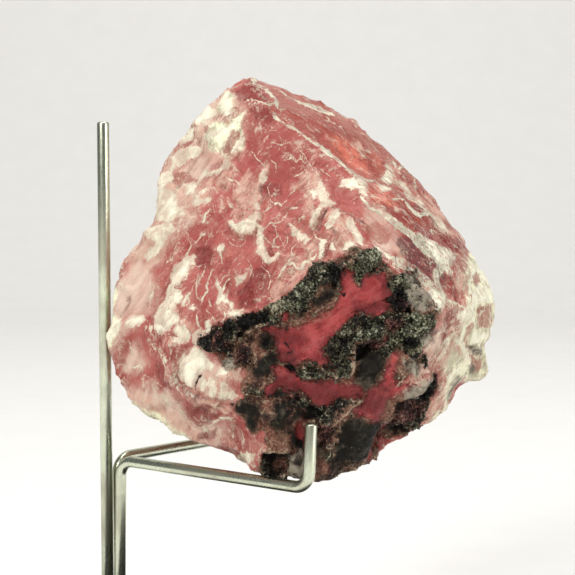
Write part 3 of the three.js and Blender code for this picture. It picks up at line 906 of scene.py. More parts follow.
# Clear rose windows in the pale places.
rose_windows = outlines(
    "266 86 282 90 300 95 316 102 330 109 322 116 308 116 292 112 278 108 270 100",
    "330 107 344 117 358 127 372 137 390 151 404 165 416 179 424 191 416 187 402 174 386 160 370 147 "
    "354 137 338 125 326 116",
    "312 236 320 234 330 236 340 236 346 242 344 250 334 248 322 248 314 246",
    "364 222 380 222 392 234 386 244 372 238 362 230",
    "278 258 296 256 300 262 294 272 282 272 276 266",
    "230 109 237 106 241 111 238 118 231 122 225 126 222 120 227 114",
    "233 129 238 131 238 139 235 147 227 150 224 146 230 140 231 134",
    "203 128 207 125 210 129 209 134 204 133",
    "192 148 181 150 184 142 189 130 194 123 198 126 194 136",
    "222 148 234 145 239 151 233 158 224 157",
    "172 184 170 178 178 172 190 174 196 180 186 184 178 188",
    "452 256 458 252 464 250 467 258 469 267 466 273 460 271 456 265",
    "433 356 441 352 443 362 438 374 431 380 430 368",
    "477 312 481 305 487 304 491 305 491 318 488 328 482 328 478 324",
    "470 296 476 292 478 296 473 304 468 310",
    "466 330 472 322 475 326 470 336 466 340",
    "452 322 456 318 456 330 450 338 448 332",
    "432 372 440 366 446 368 440 380 434 384",
    "470 276 475 272 480 280 478 286 473 283",
    "464 336 469 340 470 345 465 344",
    "468 354 474 356 480 362 484 360 482 368 475 372 469 364",
    "433 388 438 384 438 392 434 400 433 396",
    "121 342 130 338 128 352 122 354",
)

# The salmon face under the crest, and the orange glow where it is thinnest.
salmon_face = outlines(
    "262 90 285 92 312 103 340 122 362 136 386 160 398 184 420 205 446 236 434 240 420 234 400 218 372 "
    "200 366 186 352 172 320 147 290 124 268 104",
)
embers = outlines(
    "326 142 342 144 356 152 366 160 376 172 368 176 352 168 338 158",
    "367 183 376 186 386 194 396 206 384 204 372 197",
    "376 152 382 158 378 162",
)

# Dark red and plum-coloured places.
wines = outlines(
    "236 93 243 84 249 77 256 84 262 95 265 103 256 100 246 102 239 100",
    "402 170 408 173 413 180 413 188 404 183 398 176",
    "372 141 384 149 399 163 396 168 386 157 376 149",
    "438 236 448 234 457 240 463 248 466 258 466 270 458 270 455 258 448 250 440 246",
    "380 208 392 208 404 214 416 224 428 232 440 244 430 240 414 232 396 220",
    "412 204 424 212 434 222 430 224 420 216 411 209",
    "236 292 246 284 254 270 264 268 266 280 262 296 252 310 240 308",
    "224 282 233 280 232 296 225 292",
    "196 248 208 246 214 256 210 268 200 270 194 262",
    "250 112 258 104 268 108 280 116 270 124 258 120",
    "262 186 268 180 284 184 282 196 268 198",
    "266 246 272 250 276 254 271 257 266 254",
    "442 214 448 222 453 231 448 229 444 222",
    "156 366 166 360 172 374 174 388 166 386 158 376",
    "444 276 452 274 457 281 459 291 455 300 450 298 446 291 443 284",
    "444 315 450 308 457 309 455 319 450 328 445 339 440 345 440 328",
    "462 312 466 310 468 314 466 321 463 327 461 319",
    "171 344 179 342 187 343 188 350 183 358 177 366 172 358",
    "188 405 196 403 206 406 216 410 222 414 213 421 205 424 196 422 190 416",
    "196 434 206 431 216 430 216 437 206 440 196 439",
    "432 388 438 384 438 392 434 400 430 398",
)
plum_streaks = strokes(
    "254 84 .8 260 92 .9 267 99 .8",
    "331 206 .8 341 212 1.4 352 217 1.6 362 223 1.6 371 230 1.2",
    "402 237 2 412 245 3.4 424 254 3.6 436 266 3 444 274 1.6",
    "404 256 1.4 414 262 2.4 424 270 2.4 434 280 2.6 440 287 1.4",
    "318 231 .8 322 222 .8 327 211 .9",
    "330 229 1.4 336 235 1.6 340 240 1.2",
    "329 243 .8 326 252 .9 323 262 .8",
    "261 184 .8 260 192 .7",
    "397 184 .7 408 198 .9 420 209 .8 432 219 .7",
    "176 372 .6 178 384 .8 188 393 .8 198 399 .8 208 402 .6",
    "154 322 .6 163 328 .8 170 334 .8",
)
plum_patches = outlines(
    "397 238 404 236 416 246 430 258 442 270 447 277 441 285 434 281 424 273 412 263 402 255 396 246",
    "413 236 420 238 428 246 436 256 428 254 418 246",
)
# Smooth, clear faces, with hardly any flecks in them.
clear_faces = outlines(
    "262 86 284 92 306 100 330 110 352 124 372 140 360 147 340 131 318 119 296 113 276 109 266 98",
    "108 290 124 266 140 250 158 262 152 290 148 312 124 312 110 322",
    "116 352 128 336 150 326 168 336 188 346 184 358 174 372 180 388 198 402 226 413 234 424 232 442 "
    "206 444 170 430 132 402 118 384",
    "234 92 250 76 262 92 266 104 250 102 238 100",
    "236 168 262 150 290 160 300 190 296 230 280 222 268 190",
    "330 146 360 150 376 170 352 166",
)

# The matrix: a mixed grey-brown and pink ground, in which everything below lies.
matrix_ground = outlines(
    "197 343 206 333 235 320 262 311 274 303 287 296 302 281 316 265 336 259 352 249 374 250 383 262 "
    "392 272 403 276 414 281 424 288 430 296 435 306 437 318 430 332 423 346 422 362 406 372 398 384 "
    "410 388 424 386 438 376 432 397 426 418 418 434 400 438 388 440 377 463 340 482 312 490 264 484 "
    "260 470 264 452 269 448 267 438 264 431 257 434 250 431 243 420 232 410 240 398 "
    "242 386 250 374 240 366 228 372 222 362 214 354 204 351",
)
# Crusts of dark grains.
dark_crusts = outlines(
    "197 343 204 334 212 329 222 325 233 321 244 317 255 312 266 309 270 314 268 321 258 324 247 326 "
    "240 332 234 337 230 346 236 362 232 366 226 352 216 350 206 351",
    "266 308 274 303 286 297 292 290 302 281 309 270 316 265 323 264 333 262 343 266 341 276 339 286 "
    "326 285 314 290 310 300 306 308 290 311 280 314 276 322 268 326 262 322 270 314",
    "343 264 353 258 364 250 373 249 380 257 381 264 376 270 366 272 361 283 357 281 356 269 348 268",
    "391 276 400 272 410 272 416 280 423 287 413 291 411 306 403 312 392 308 386 301 394 298 389 288",
    "377 318 391 312 403 312 414 311 424 313 433 315 435 321 430 330 424 338 420 346 420 358 414 364 "
    "407 354 400 346 393 350 387 358 384 350 388 338 391 330 380 330",
    "355 318 362 313 370 318 380 322 384 332 380 338 368 342 356 344 354 356 352 370 346 378 334 374 "
    "332 363 330 358 324 352 330 342 340 332 348 324",
    "284 366 294 368 305 364 312 361 320 368 334 374 346 378 334 379 318 377 306 378 296 372",
    "315 410 326 406 334 401 346 399 352 401 344 408 336 413 330 420 336 430 334 442 328 448 319 446 "
    "317 424",
    "396 405 404 400 416 396 424 388 432 380 438 378 432 394 428 406 424 418 420 430 406 432 391 433 "
    "398 418",
    "265 452 290 452 289 464 286 477 262 477 263 464",
    "357 346 366 344 386 342 390 350 388 357 372 352 360 356",
    "246 388 254 384 262 390 262 398 254 396 247 394",
    "272 402 282 398 296 392 306 396 312 404 306 412 298 404 284 406",
    "236 350 242 344 250 350 248 360 240 366 236 360",
    "420 366 424 356 428 358 426 368",
)
# Smooth slabs of grey-brown or dark green stone.
dark_slabs = outlines(
    "317 440 330 444 336 462 330 480 317 482",
    "252 370 259 358 268 353 279 356 276 366 267 374 256 380",
    "258 346 262 338 270 335 276 340 275 346 268 350 260 352",
    "312 300 318 292 328 288 337 288 334 296 326 303 314 306",
    "293 318 298 312 306 311 305 318 298 321",
    "357 352 372 350 388 354 388 363 379 374 375 386 364 390 356 383 353 378",
    "231 406 242 400 254 402 264 406 260 418 257 432 248 428 244 416 236 412",
    "270 390 284 387 298 391 309 400 310 410 302 417 294 424 297 436 301 446 290 446 280 436 "
    "272 426 262 417 262 410 272 411 273 400",
    "342 421 350 417 358 418 368 422 384 422 380 432 374 442 370 456 358 461 344 464 334 462 336 448 "
    "338 434",
    "289 456 304 450 306 470 302 482 290 480",
    "409 268 417 269 422 278 425 287 418 290 413 284",
)
# Clear crimson stone.
crimson_windows = outlines(
    "260 329 272 325 286 327 300 324 312 319 322 312 331 306 337 300 338 296 340 290 340 280 342 272 "
    "347 268 355 271 356 281 361 284 365 275 377 275 386 273 389 278 392 288 397 295 393 300 391 308 "
    "384 315 374 318 368 316 361 313 355 318 348 323 341 329 336 335 329 342 323 349 324 356 331 363 "
    "320 366 309 360 298 366 289 363 279 363 275 353 276 340",
    "272 366 284 365 296 374 304 379 316 380 337 380 351 380 358 384 366 391 362 397 350 398 337 400 "
    "330 406 322 408 312 407 309 398 300 391 286 389 275 388 268 398 262 392 266 384 276 380 273 374",
    "391 351 400 354 398 362 395 372 397 382 408 383 417 386 405 392 396 397 390 403 388 413 384 422 "
    "376 423 366 420 355 415 348 410 358 405 366 396 371 389 379 384 383 375 387 364",
    "281 315 287 313 292 318 288 322 282 321",
    "373 346 381 341 388 333 390 337 385 345 378 349",
    "293 427 302 419 306 434 304 446 299 448 296 439",
    "384 424 392 426 386 440 377 451 374 464 369 462 371 450 377 438",
    "338 345 346 342 350 349 342 353",
    "354 334 362 328 368 330 360 336",
)
# Tan and pale seams in the matrix.
tan_seams = strokes(
    "334 300 1.4 322 307 1.8 312 314 2 300 320 1.8 286 321 1.4",
    "314 291 .8 322 287 1 333 287 .9",
    "330 425 1.4 340 417 2.2 349 409 1.8 357 401 1",
    "351 378 1.4 354 366 1.4 352 356 1.2 356 346 1 362 340 1",
    "346 333 1 354 331 1.2 360 326 .9",
    "300 366 .9 308 362 1 321 371 1 334 379 1.3 348 381 1.2",
    "256 338 1.2 255 347 1.6 257 353 1",
    "398 370 1.4 406 364 2.4 416 366 2 412 376 1.6",
    "346 256 2 352 261 2 356 258 1.6",
    "388 350 1.6 390 358 1.4 386 362 1",
    "259 382 .9 254 388 .8",
    "280 400 .5 290 397 .6",
    "296 406 .8 290 414 1 290 422 .8",
    "292 466 2 298 474 2.4 294 480 1.6",
    "324 448 1.6 332 440 1.4 330 430 1.2",
    "289 407 .5 291 412 .7 287 419 .8 288 424 .8 291 427 .6",
    "304 408 .5 306 412 .6 303 417 .6 299 421 .5",
    "270 426 .8 275 431 1.2 277 436 .9",
    "278 449 .8 288 450 1 297 451 .7",
    "277 464 2.4 282 462 2",
    "226 362 2.4 231 366 2.6",
    "272 312 2.2 278 306 2.4 282 302 1.6",
)
tan_patches = outlines(
    "282 326 288 321 298 320 308 318 316 311 324 306 332 300 336 302 330 309 322 316 312 322 300 326",
    "261 401 270 398 274 403 271 411 263 410",
    "269 434 279 430 288 438 291 448 278 449 270 444",
    "258 418 268 419 274 428 278 435 268 434 260 428",
    "246 393 256 394 264 398 260 402 248 401",
    "397 357 406 355 414 361 420 370 416 379 408 374 402 368 398 366",
    "386 412 391 401 398 395 398 408 394 420 390 434 384 442 382 430",
    "275 460 283 457 287 464 285 471 277 471 273 466",
    "318 452 324 454 330 468 326 474 318 476",
    "236 372 246 370 252 378 254 386 246 386 238 382",
    "394 396 402 394 412 395 405 401 397 404",
)
# Half clear mauve and grey stone in the matrix.
grey_patches = outlines(
    "402 271 410 274 420 282 428 291 420 292 411 288",
    "289 456 300 450 305 456 305 482 291 482 288 468",
    "418 384 426 378 435 375 433 382 426 389 419 392",
    "223 360 229 357 234 360 234 367 229 370 223 366",
    "418 338 430 328 437 330 433 342 426 350 419 348",
    "406 290 413 285 424 288 431 294 433 303 428 311 416 312 409 303",
    "402 360 410 358 418 363 421 371 415 379 408 373",
    "468 345 475 345 482 350 483 356 477 358 471 352",
    "450 384 455 375 463 377 462 386 455 395 449 404 446 398",
    "466 366 472 364 477 369 474 375 468 374",
    "402 390 414 386 420 392 412 400 403 398",
)
# Where the grains of the crusts are grey-green and pale.
frosted_grains = outlines(
    "286 299 293 291 301 284 308 286 316 281 323 284 311 292 304 299 306 308 296 310 289 304",
    "267 315 271 309 279 302 287 299 287 306 281 311 276 319 270 321",
    "256 336 261 337 258 346 257 352 251 352 254 343",
    "253 326 260 322 269 323 267 328 258 330",
    "261 350 268 343 276 345 277 350 267 355 260 354",
    "232 332 238 335 243 338 239 342 232 341",
    "354 252 366 247 376 250 386 257 377 262 366 264 357 263",
    "396 272 406 268 412 276 412 286 404 286 400 280",
    "408 318 420 309 434 307 446 304 441 317 434 327 424 334 414 331",
    "356 331 368 321 380 325 389 334 381 343 366 341 356 339",
    "351 343 359 339 360 350 356 361 353 371 351 381 336 380 329 376 340 372 347 366 349 354",
    "385 346 392 342 395 352 391 363 386 357",
    "303 368 308 362 317 362 325 368 335 369 340 374 327 377 314 378 306 376",
    "341 335 352 330 361 325 355 334 346 339",
    "396 326 410 318 418 326 414 336 402 338",
    "418 352 428 346 432 352 424 362 418 360",
)
# Black gaps between the grains, where little light comes back.
black_gaps = outlines(
    "236 323 244 318 253 313 262 311 270 311 270 320 262 324 254 327 246 331 238 328",
    "221 326 230 321 236 326 233 335 226 339 221 335",
    "202 333 212 328 215 334 209 342 202 341",
    "203 344 210 343 211 350 204 350",
    "236 332 241 330 244 334 239 337",
    "219 336 223 336 221 345 218 344",
    "325 268 334 265 342 272 342 279 334 281 327 275",
    "322 284 332 281 338 284 334 289 324 288",
    "395 289 404 291 412 302 409 313 400 315 393 306 397 298",
    "336 336 346 336 356 332 353 341 342 344",
    "356 344 370 343 373 350 364 356 356 362 355 350",
    "403 338 412 337 415 344 409 348 403 345",
    "263 453 274 450 281 455 289 455 290 470 280 473 268 475 262 468 268 460",
    "416 393 426 388 434 380 438 377 434 393 427 402 416 399",
    "285 366 292 365 297 371 290 374",
    "306 367 315 365 321 373 312 376",
    "261 338 270 336 268 345 261 346",
    "303 404 318 407 329 410 322 415 312 419 303 421",
    "295 439 302 441 305 451 298 452",
    "396 402 407 398 407 405 398 411",
    "378 321 386 321 384 327 378 326",
    "414 352 420 354 418 364 413 360",
    "422 362 428 358 430 366 423 370",
    "346 277 340 270 346 268",
)
# Dusky red among the grains, and the deeper parts of the crimson stone.
ruddy_grains = outlines(
    "396 404 412 398 424 402 420 416 408 422 392 432 396 416",
    "213 336 222 331 221 346 212 351",
    "234 344 246 343 252 352 248 362 238 366 233 356",
    "223 340 231 341 228 350 222 348",
    "393 299 412 303 410 313 394 311",
    "356 342 372 340 384 343 374 350 358 354",
    "316 422 332 424 334 440 320 446",
    "240 332 256 328 262 334 256 344 244 342",
    "386 318 400 316 404 326 394 334 384 330",
    "262 372 280 368 296 376 308 388 300 400 276 402 262 394",
)
crimson_depths = outlines(
    "258 328 274 326 292 331 304 336 300 345 288 348 276 342 264 336",
    "274 350 290 350 302 358 308 364 294 367 280 364",
    "270 376 286 376 304 382 322 384 334 390 322 398 310 402 300 394 284 391 268 392",
    "376 278 388 280 396 296 390 306 376 310 378 294",
    "352 304 372 300 392 298 386 312 370 318 354 316",
    "378 382 390 384 392 392 382 394 376 390",
    "293 428 302 421 305 434 304 447 298 447",
    "366 414 380 408 388 410 384 422 372 424",
    "308 380 330 382 352 382 364 391 356 398 338 400 320 408 308 402 300 390",
    "352 408 366 396 378 390 392 394 388 412 372 420",
    "330 338 338 330 346 324 350 328 338 340 328 346",
)
# Where the grains are olive and loose rather than black.
olive_grains = outlines(
    "376 316 392 310 414 309 446 304 444 318 430 334 422 362 400 352 384 344 372 332",
    "266 302 284 294 296 284 300 300 286 312 270 324",
    "344 258 362 246 380 252 382 264 366 272 352 266",
    "400 272 412 272 414 282 404 284",
    "344 376 352 360 356 344 368 338 372 344 358 350 356 366 350 382",
)
# The knob's black crack, and dark red cracks in the crimson stone.
dark_cracks = strokes(
    "203 373 .4 198 377 1 195 381 .8 192 387 .3 192 391 .8",
    "352 313 .2 364 310 .3 376 304 .4 388 299 .4 396 297 .3",
    "341 292 .6 344 295 1.4 346 293 .6",
    "364 403 1 360 406 1.6",
    "284 344 1 288 348 .8",
    "287 354 1 291 352 .8",
)
# Low swells and, where the last number is negative, dents: x, y, reach in pixels, millimetres.
(swells,) = outlines(
    "166 163 12 .6   176 148 14 1.3   190 126 10 .9   156 203 10 .7   146 236 10 1.1   132 248 10 1.1 "
    "122 262 9 .9   116 285 12 1.2   113 300 9 1   120 376 10 .8   165 426 10 1   178 433 8 .9 "
    "240 462 8 .9   250 470 8 .8   243 80 9 .8   232 86 7 .5   280 87 12 .6   340 112 10 .7 "
    "354 120 7 1   366 132 8 .5   402 165 12 .6   418 182 12 .6   432 200 10 .5   446 216 10 .5 "
    "458 232 8 .5   474 256 10 .6   484 272 10 .8   491 288 10 .8   495 308 10 .7   494 326 9 .5 "
    "489 366 5 .7   486 346 5 -1   474 388 9 -1.8   462 394 9 -2.2   452 405 8 -1.4   388 437 9 -1.8 "
    "380 446 8 -2.2   400 430 8 -1.9   458 354 5 .8   388 440 6 -1   414 424 8 -.8   374 454 6 -.8",
    each=4,
)
# Where the streaks follow the long ridge instead of rising.
(shoulder,) = outlines(
    "244 70 262 100 306 138 352 172 368 200 345 212 372 240 420 285 450 312 464 286 490 262 440 190 "
    "388 140 319 88",
)
# Broken edges: step in millimetres, how many pixels away it has run out, and the path. The stone
# stands higher at the left hand of someone who walks the path.
ledges = outlines(
    "1 34 229 221 233 232 240 235 252 235 258 227 261 214 259 205 262 197 260 189 262 181 267 169",
    "1.2 26 313 232 317 226 323 216 328 206",
    ".7 14 323 243 317 239 313 232",
    ".9 18 322 263 327 251 330 241",
    ".9 16 278 250 276 256 270 258 265 252 263 243",
    ".9 20 437 223 425 215 412 203 402 191 396 181",
    "1.2 26 205 403 195 397 186 391 178 384 175 373 181 362 190 347",
    ".9 22 190 342 172 342 171 334 163 329 153 322",
    ".8 24 176 384 174 368 170 356 162 343 154 332 146 321",
    ".6 12 268 99 260 92 253 83",
    ".7 20 233 440 233 424 227 414 215 407 200 401 188 392",
    ".6 18 170 403 163 393 155 382 141 371",
    ".6 16 223 170 233 160 238 152 243 138",
    ".5 16 182 149 188 140 192 128 198 122",
    ".7 16 455 259 448 251 438 244 428 238",
    ".8 16 371 231 360 223 348 215 331 206",
    ".8 14 365 246 358 245 350 236 345 226",
    ".6 14 311 242 306 246 298 241 291 234",
    ".8 16 398 384 408 380 420 374 432 372",
    "1.8 18 396 407 404 400 414 396 422 390 430 382 437 377",
    "1 14 204 329 222 324 236 320 252 313 266 309",
    "1.3 10 262 472 263 453 276 451 290 453",
    "1 10 351 381 355 366 356 352 359 343",
    ".7 12 339 447 338 434 343 420 352 416 366 420 384 422",
    ".9 12 457 338 459 324 463 308 468 296",
    "1.1 12 467 343 476 349 485 357",
    ".6 10 478 334 476 320 478 308 486 303",
    ".7 10 440 352 444 336 448 322 452 308",
)
# The thin white line along each of these broken edges is a painted highlight on its lit rim.
highlighted_ledges = 19  # so many of them, from the first, show a thin white line
ledge_highlight_half = 0.4  # pixels

# the two ways that the streaks run, in space, and how much shorter points are made along them
rising = np.array([0.33, -0.2, 0.92])
falling = np.array([0.72, -0.2, -0.66])
squeeze = 0.68
mark_reach = 6.0  # a mark's distance is kept up to this many millimetres


def drawn_out(points, along):
    """Points squeezed along a direction, so that noise read at them is drawn out along it."""
    along = along / np.linalg.norm(along)
    return points - squeeze * (points @ along)[:, None] * along


def close_by(places, path, reach):
    """Which places lie in the path's box, or within `reach` pixels of it."""
    corners = np.array(path)[:, :2]
    inside = (places > corners.min(0) - reach) & (places < corners.max(0) + reach)
    return np.flatnonzero(inside.all(1))


def joined(items, measure, places):
    """The union of several marks: the greatest of their distances, worked out near each mark."""
    total = np.full(len(places), -mark_reach)
    for item in items:
        rows = close_by(places, item, mark_reach * pixels_per_mm)
        total[rows] = np.maximum(total[rows], measure(places[rows], item))
    return total


def beside_streaks(items, places):
    """For the nearest of several streaks, in millimetres: how deep each place is inside it, how far
    beside its middle line, with a sign, and half its width there."""
    deep = np.full(len(places), -mark_reach)
    side, half = deep.copy(), np.zeros(len(places))
    for item in items:
        rows = close_by(places, item, mark_reach * pixels_per_mm)
        signed, leg, share = beside(places[rows], item)
        widths = np.array(item)[:, 2]
        width = widths[leg] + share * (widths[leg + 1] - widths[leg])
        inside = (width - np.abs(signed)) / pixels_per_mm
        nearer = inside > deep[rows]
        found = rows[nearer]
        deep[found] = inside[nearer]
        side[found] = signed[nearer] / pixels_per_mm
        half[found] = width[nearer] / pixels_per_mm
    return deep, side, half


def all_round(display, elsewhere):
    """A mark as drawn where the display side is seen, and the noise of its kind elsewhere."""
    return np.clip(shown * display + (1 - shown) * elsewhere, -mark_reach, mark_reach)


def brushed_field(field, *arguments, shift=0):
    """A field of noise drawn out along the streaks: rising ones, and falling ones on the shoulder."""
    up, down = (np.array(field(drawn_out(form, way) + shift, *arguments)) for way in (rising, falling))
    return up + on_shoulder * (down - up)


def veins(places, size, seed, half):
    """Thin sheets through the stone: half their width less the distance to where clouds pass zero,
    kept only where clouds of another kind are high."""
    sheet = half - 0.5 * size * np.abs(clouds(places, size, seed, 3))
    return np.minimum(sheet, 4 * clouds(form, 13, seed + 1, 2))


# The outlines have few corners, so the place where they are read wanders by a few pixels: more for
# the cloudy marks, less for the crisp ones.
swim = np.stack([clouds(form, 5.5, seed, 4) for seed in (31, 32)], 1)
ragged = np.stack([clouds(form, 1.7, seed, 2) for seed in (33, 34)], 1)
adrift = spots + 7.0 * swim
firm = spots + 1.8 * swim + 1.4 * ragged
steady = spots + 1.2 * swim + 1.2 * ragged
shoulder_distance = area(spots, shoulder)
on_shoulder = shown * soft(shoulder_distance, -1.5, 1.5)
# thin white lines along the first ledges: painted highlights on their rims
ledge_highlights = [[(x, y, ledge_highlight_half) for x, y in path] for _, *path in ledges[:highlighted_ledges]]

line_depth, line_side, line_half = beside_streaks(white_streaks + ledge_highlights, steady)

# how far, in millimetres, a place is inside the dark lower part and the pale right end
low_down = (82 - form[:, 2]) / 5 + 2.5 * clouds(form, 18, 40)
right_end = (form[:, 0] - 40) / 4 + 2 * clouds(form, 9, 41)


def patches(items, places, elsewhere):
    """A mark drawn as outlines, and the noise of its kind elsewhere."""
    return all_round(joined(items, area, places), elsewhere)


def over(limit, gain, size, seed, octaves=4):
    """Clouds of a size in millimetres, less a limit, times a gain."""
    return gain * (clouds(form, size, seed, octaves) - limit)


def brushed_over(limit, gain, size, seed, octaves=4):
    """The same, for clouds drawn out along the streaks."""
    return gain * (brushed_field(clouds, size, seed, octaves) - limit)


def low_over(limit, gain, size, seed):
    """The same as over, but low down on the stone alone."""
    return np.minimum(low_down, over(limit, gain, size, seed))


plum_marks = np.maximum(joined(plum_streaks, streak, firm), joined(plum_patches, area, firm))
tan_marks = np.maximum(joined(tan_seams, streak, firm), joined(tan_patches, area, firm))
marks = {
    "matrix": patches(matrix_ground, firm, np.minimum(low_down, 4.0)),
    "white": patches(white_patches, firm, brushed_over(0.36, 4.5, 10, 42)),
    "line": all_round(line_depth, brushed_field(veins, 11, 53, 0.3)),
    "line_side": all_round(line_side, brushed_over(0, 5.5, 11, 53, 3)),
    "line_half": all_round(line_half, 0.2),
    "pale": patches(pale_patches, adrift, brushed_over(0.2, 5, 14, 55)),
    "veil": patches(veils, adrift, over(0.1, 6, 24, 43, 2)),
    "cream": patches(creams, adrift, np.maximum(right_end - 2.5, over(0.5, 5, 15, 44))),
    "rose": patches(rose_windows, firm, brushed_over(0.45, 4, 8, 57)),
    "salmon": patches(salmon_face, adrift, over(0.3, 5, 30, 45, 2)),
    "ember": patches(embers, adrift, over(0.55, 5, 20, 46, 2)),
    "wine": patches(wines, firm, brushed_over(0.5, 4, 12, 47)),
    "plum": all_round(plum_marks, brushed_field(veins, 15, 58, 0.25)),
    "clear": patches(clear_faces, adrift, over(0.1, 5, 20, 97)),
    "crust": patches(dark_crusts, firm, low_over(0.02, 5, 13, 48)),
    "slab": patches(dark_slabs, firm, low_over(0.12, 5, 15, 49)),
    "crimson": patches(crimson_windows, firm, low_over(0.2, 5, 16, 50)),
    "tan": all_round(tan_marks, low_over(0.45, 3, 7, 51)),
    "grey": patches(grey_patches, firm, low_over(0.45, 4, 9, 85)),
    "frost": patches(frosted_grains, firm, over(0.15, 4, 8, 86)),
    "gap": patches(black_gaps, firm, low_over(0.4, 4, 6, 87)),
    "ruddy": patches(ruddy_grains, adrift, over(0.1, 4, 9, 88)),
    "deep": patches(crimson_depths, adrift, over(0, 4, 8, 89)),
    "olive": patches(olive_grains, adrift, over(0, 5, 14, 52)),
    "crack": all_round(joined(dark_cracks, streak, firm), np.minimum(low_down, veins(form, 12, 59, 0.2))),
    "shoulder": shoulder_distance * shown - mark_reach * (1 - shown),
}

# ---- Stone: its relief and mesh --------------------------------------------------------------
# Over the form lie low swells, fracture dishes of three sizes, the stepped edges of cleaved plates,
# crumbs in the white, and the lumps of the crusts. Clear crimson stone lies a little lower and
# smoother than its surroundings.


def ledge(places, path, step, reach):
    """A broken edge in the view: on its left the stone stands `step` higher and comes down again
    by exp(-d / reach); on its right it dips a little. Both fade in at the two ends of the path."""
    length = np.linalg.norm(np.diff(path, axis=0), axis=1)
    signed, near, share = beside(places, path)
    walked = (np.cumsum(length) - length)[near] + share * length[near]
    fade = soft(np.minimum(walked, length.sum() - walked), 0, 7)
    upper = soft(signed, -1.3, 1.3)
    rise_here = upper * np.exp(-np.maximum(signed, 0) / reach)
    dip_here = 0.3 * (1 - upper) * np.exp(np.minimum(signed, 0) / 6)
    return step * fade * (rise_here - dip_here)


hollow_rounds = 14
wander = np.stack([clouds(form, 9, seed, 3) for seed in (60, 61, 62)], 1)
large_dish, large_own, large_edge = dishes(form + 3.0 * wander, 13, 10)
middle_dish, middle_own, middle_edge = brushed_field(dishes, 5.0, 20, shift=1.8 * wander)
small_dish, small_own, _ = brushed_field(dishes, 2.1, 30, shift=0.8 * wander)
clot_dish, clot_own, _ = dishes(form + 1.2 * wander, 3.2, 90)
grain_dish, grain_own, _ = dishes(form + 0.6 * wander, 1.2, 70)
plates = 4.0 * brushed_field(clouds, 12, 84, 3, shift=wander)

in_white = soft(np.maximum(marks["white"], marks["pale"] - 1.0), -0.6, 0.5)
in_matrix = soft(marks["matrix"], -0.3, 0.8)
in_crust = soft(marks["crust"] + 0.5 * clouds(form, 1.6, 82, 2), -0.3, 0.4)
in_crimson = soft(marks["crimson"], -0.2, 0.8) * (1 - in_crust)
in_slab = soft(marks["slab"], -0.2, 0.8) * (1 - in_crust)
smooth_here = np.clip(in_crimson + 0.5 * in_slab, 0, 1)

# low swells, then large, middle and small dishes: each a bowl, and a step to its neighbours
height = 0.5 * clouds(form, 16, 80, 3)
height += (1.2 * (large_dish - 0.35) + 0.7 * (large_own - 0.5)) * (1 - 0.6 * in_matrix)
height += (0.6 * (middle_dish - 0.35) + 0.4 * (middle_own - 0.5)) * (1 - 0.6 * smooth_here)
height += (0.3 * (small_dish - 0.35) + 0.3 * (small_own - 0.5) * (0.3 + in_white)) * (1 - smooth_here)
# the steps of cleaved plates
height += 0.28 * (0.5 - (plates - np.floor(plates))) * (1 - 0.8 * in_matrix)
# clots and grains of the crusts
height += in_crust * (0.5 + 0.9 * (clot_own - 0.5) - 0.9 * (clot_dish - 0.3))
height += in_crust * (0.7 * (grain_own - 0.5) - 0.9 * (grain_dish - 0.3))
# white stone and slabs stand out, crimson stone lies low; lines, cracks, gaps and rough ground
height += 0.25 * in_white * (1 - in_crust) + 0.5 * in_slab - 0.5 * in_crimson
height += 0.1 * soft(marks["line"], -0.3, 0.2) - 0.5 * soft(marks["crack"], -0.4, 0.3)
height -= 1.1 * soft(marks["gap"], -0.5, 0.7) * in_matrix
rough_ground = 1.1 * clouds(form, 4.5, 81, 2) + 0.3 * clouds(form, 1.3, 83, 1)
height += in_matrix * rough_ground * (1 - 0.7 * smooth_here)
for (step, reach), *path in ledges:
    rows = close_by(firm, path, 2 * reach)
    height[rows] += shown[rows] * ledge(firm[rows], path, step, reach)
for x, y, reach, amount in swells:
    height += amount * shown * np.exp(-((spots - (x, y)) ** 2).sum(1) / reach**2)
points = form + height[:, None] * normals
# how far each place lies below the mean of its surroundings, or above it where this is negative
surroundings = relaxed(points, quads, halfway, hollow_rounds)
hollow = ((surroundings - points) * outward_normals(points, quads)).sum(1)


def keep_on(mesh, fields):
    """Keeps each field, one number for every vertex, on the mesh under its name."""
    for name, values in fields.items():
        attribute = mesh.attributes.new(name, "FLOAT", "POINT")
        attribute.data.foreach_set("value", values.astype(np.float32))


stone_mesh = bpy.data.meshes.new("pink_stone")
stone_mesh.from_pydata((points / 1000).tolist(), [], quads.tolist())
stone_mesh.shade_smooth()
marks["plate"] = plates
marks["facet"] = np.minimum(large_edge, middle_edge)
marks["hollow"] = hollow
keep_on(stone_mesh, marks)

# ---- Stone: its material ---------------------------------------------------------------------
# Massive pink stone is cloudy and half clear: rose and salmon within, white where it was bruised,
# with fine white cracks. The matrix is dull grains from black to olive, and crimson stone between.


def node_group(name, inputs, outputs):
    """An empty shader node group with these float, vector or colour sockets."""
    group = bpy.data.node_groups.new(name, "ShaderNodeTree")
    for key, kind in inputs.items():
        group.interface.new_socket(key, in_out="INPUT", socket_type="NodeSocket" + kind)
    for key, kind in outputs.items():
        group.interface.new_socket(key, in_out="OUTPUT", socket_type="NodeSocket" + kind)
    return group, group.nodes.new("NodeGroupInput").outputs, group.nodes.new("NodeGroupOutput").inputs


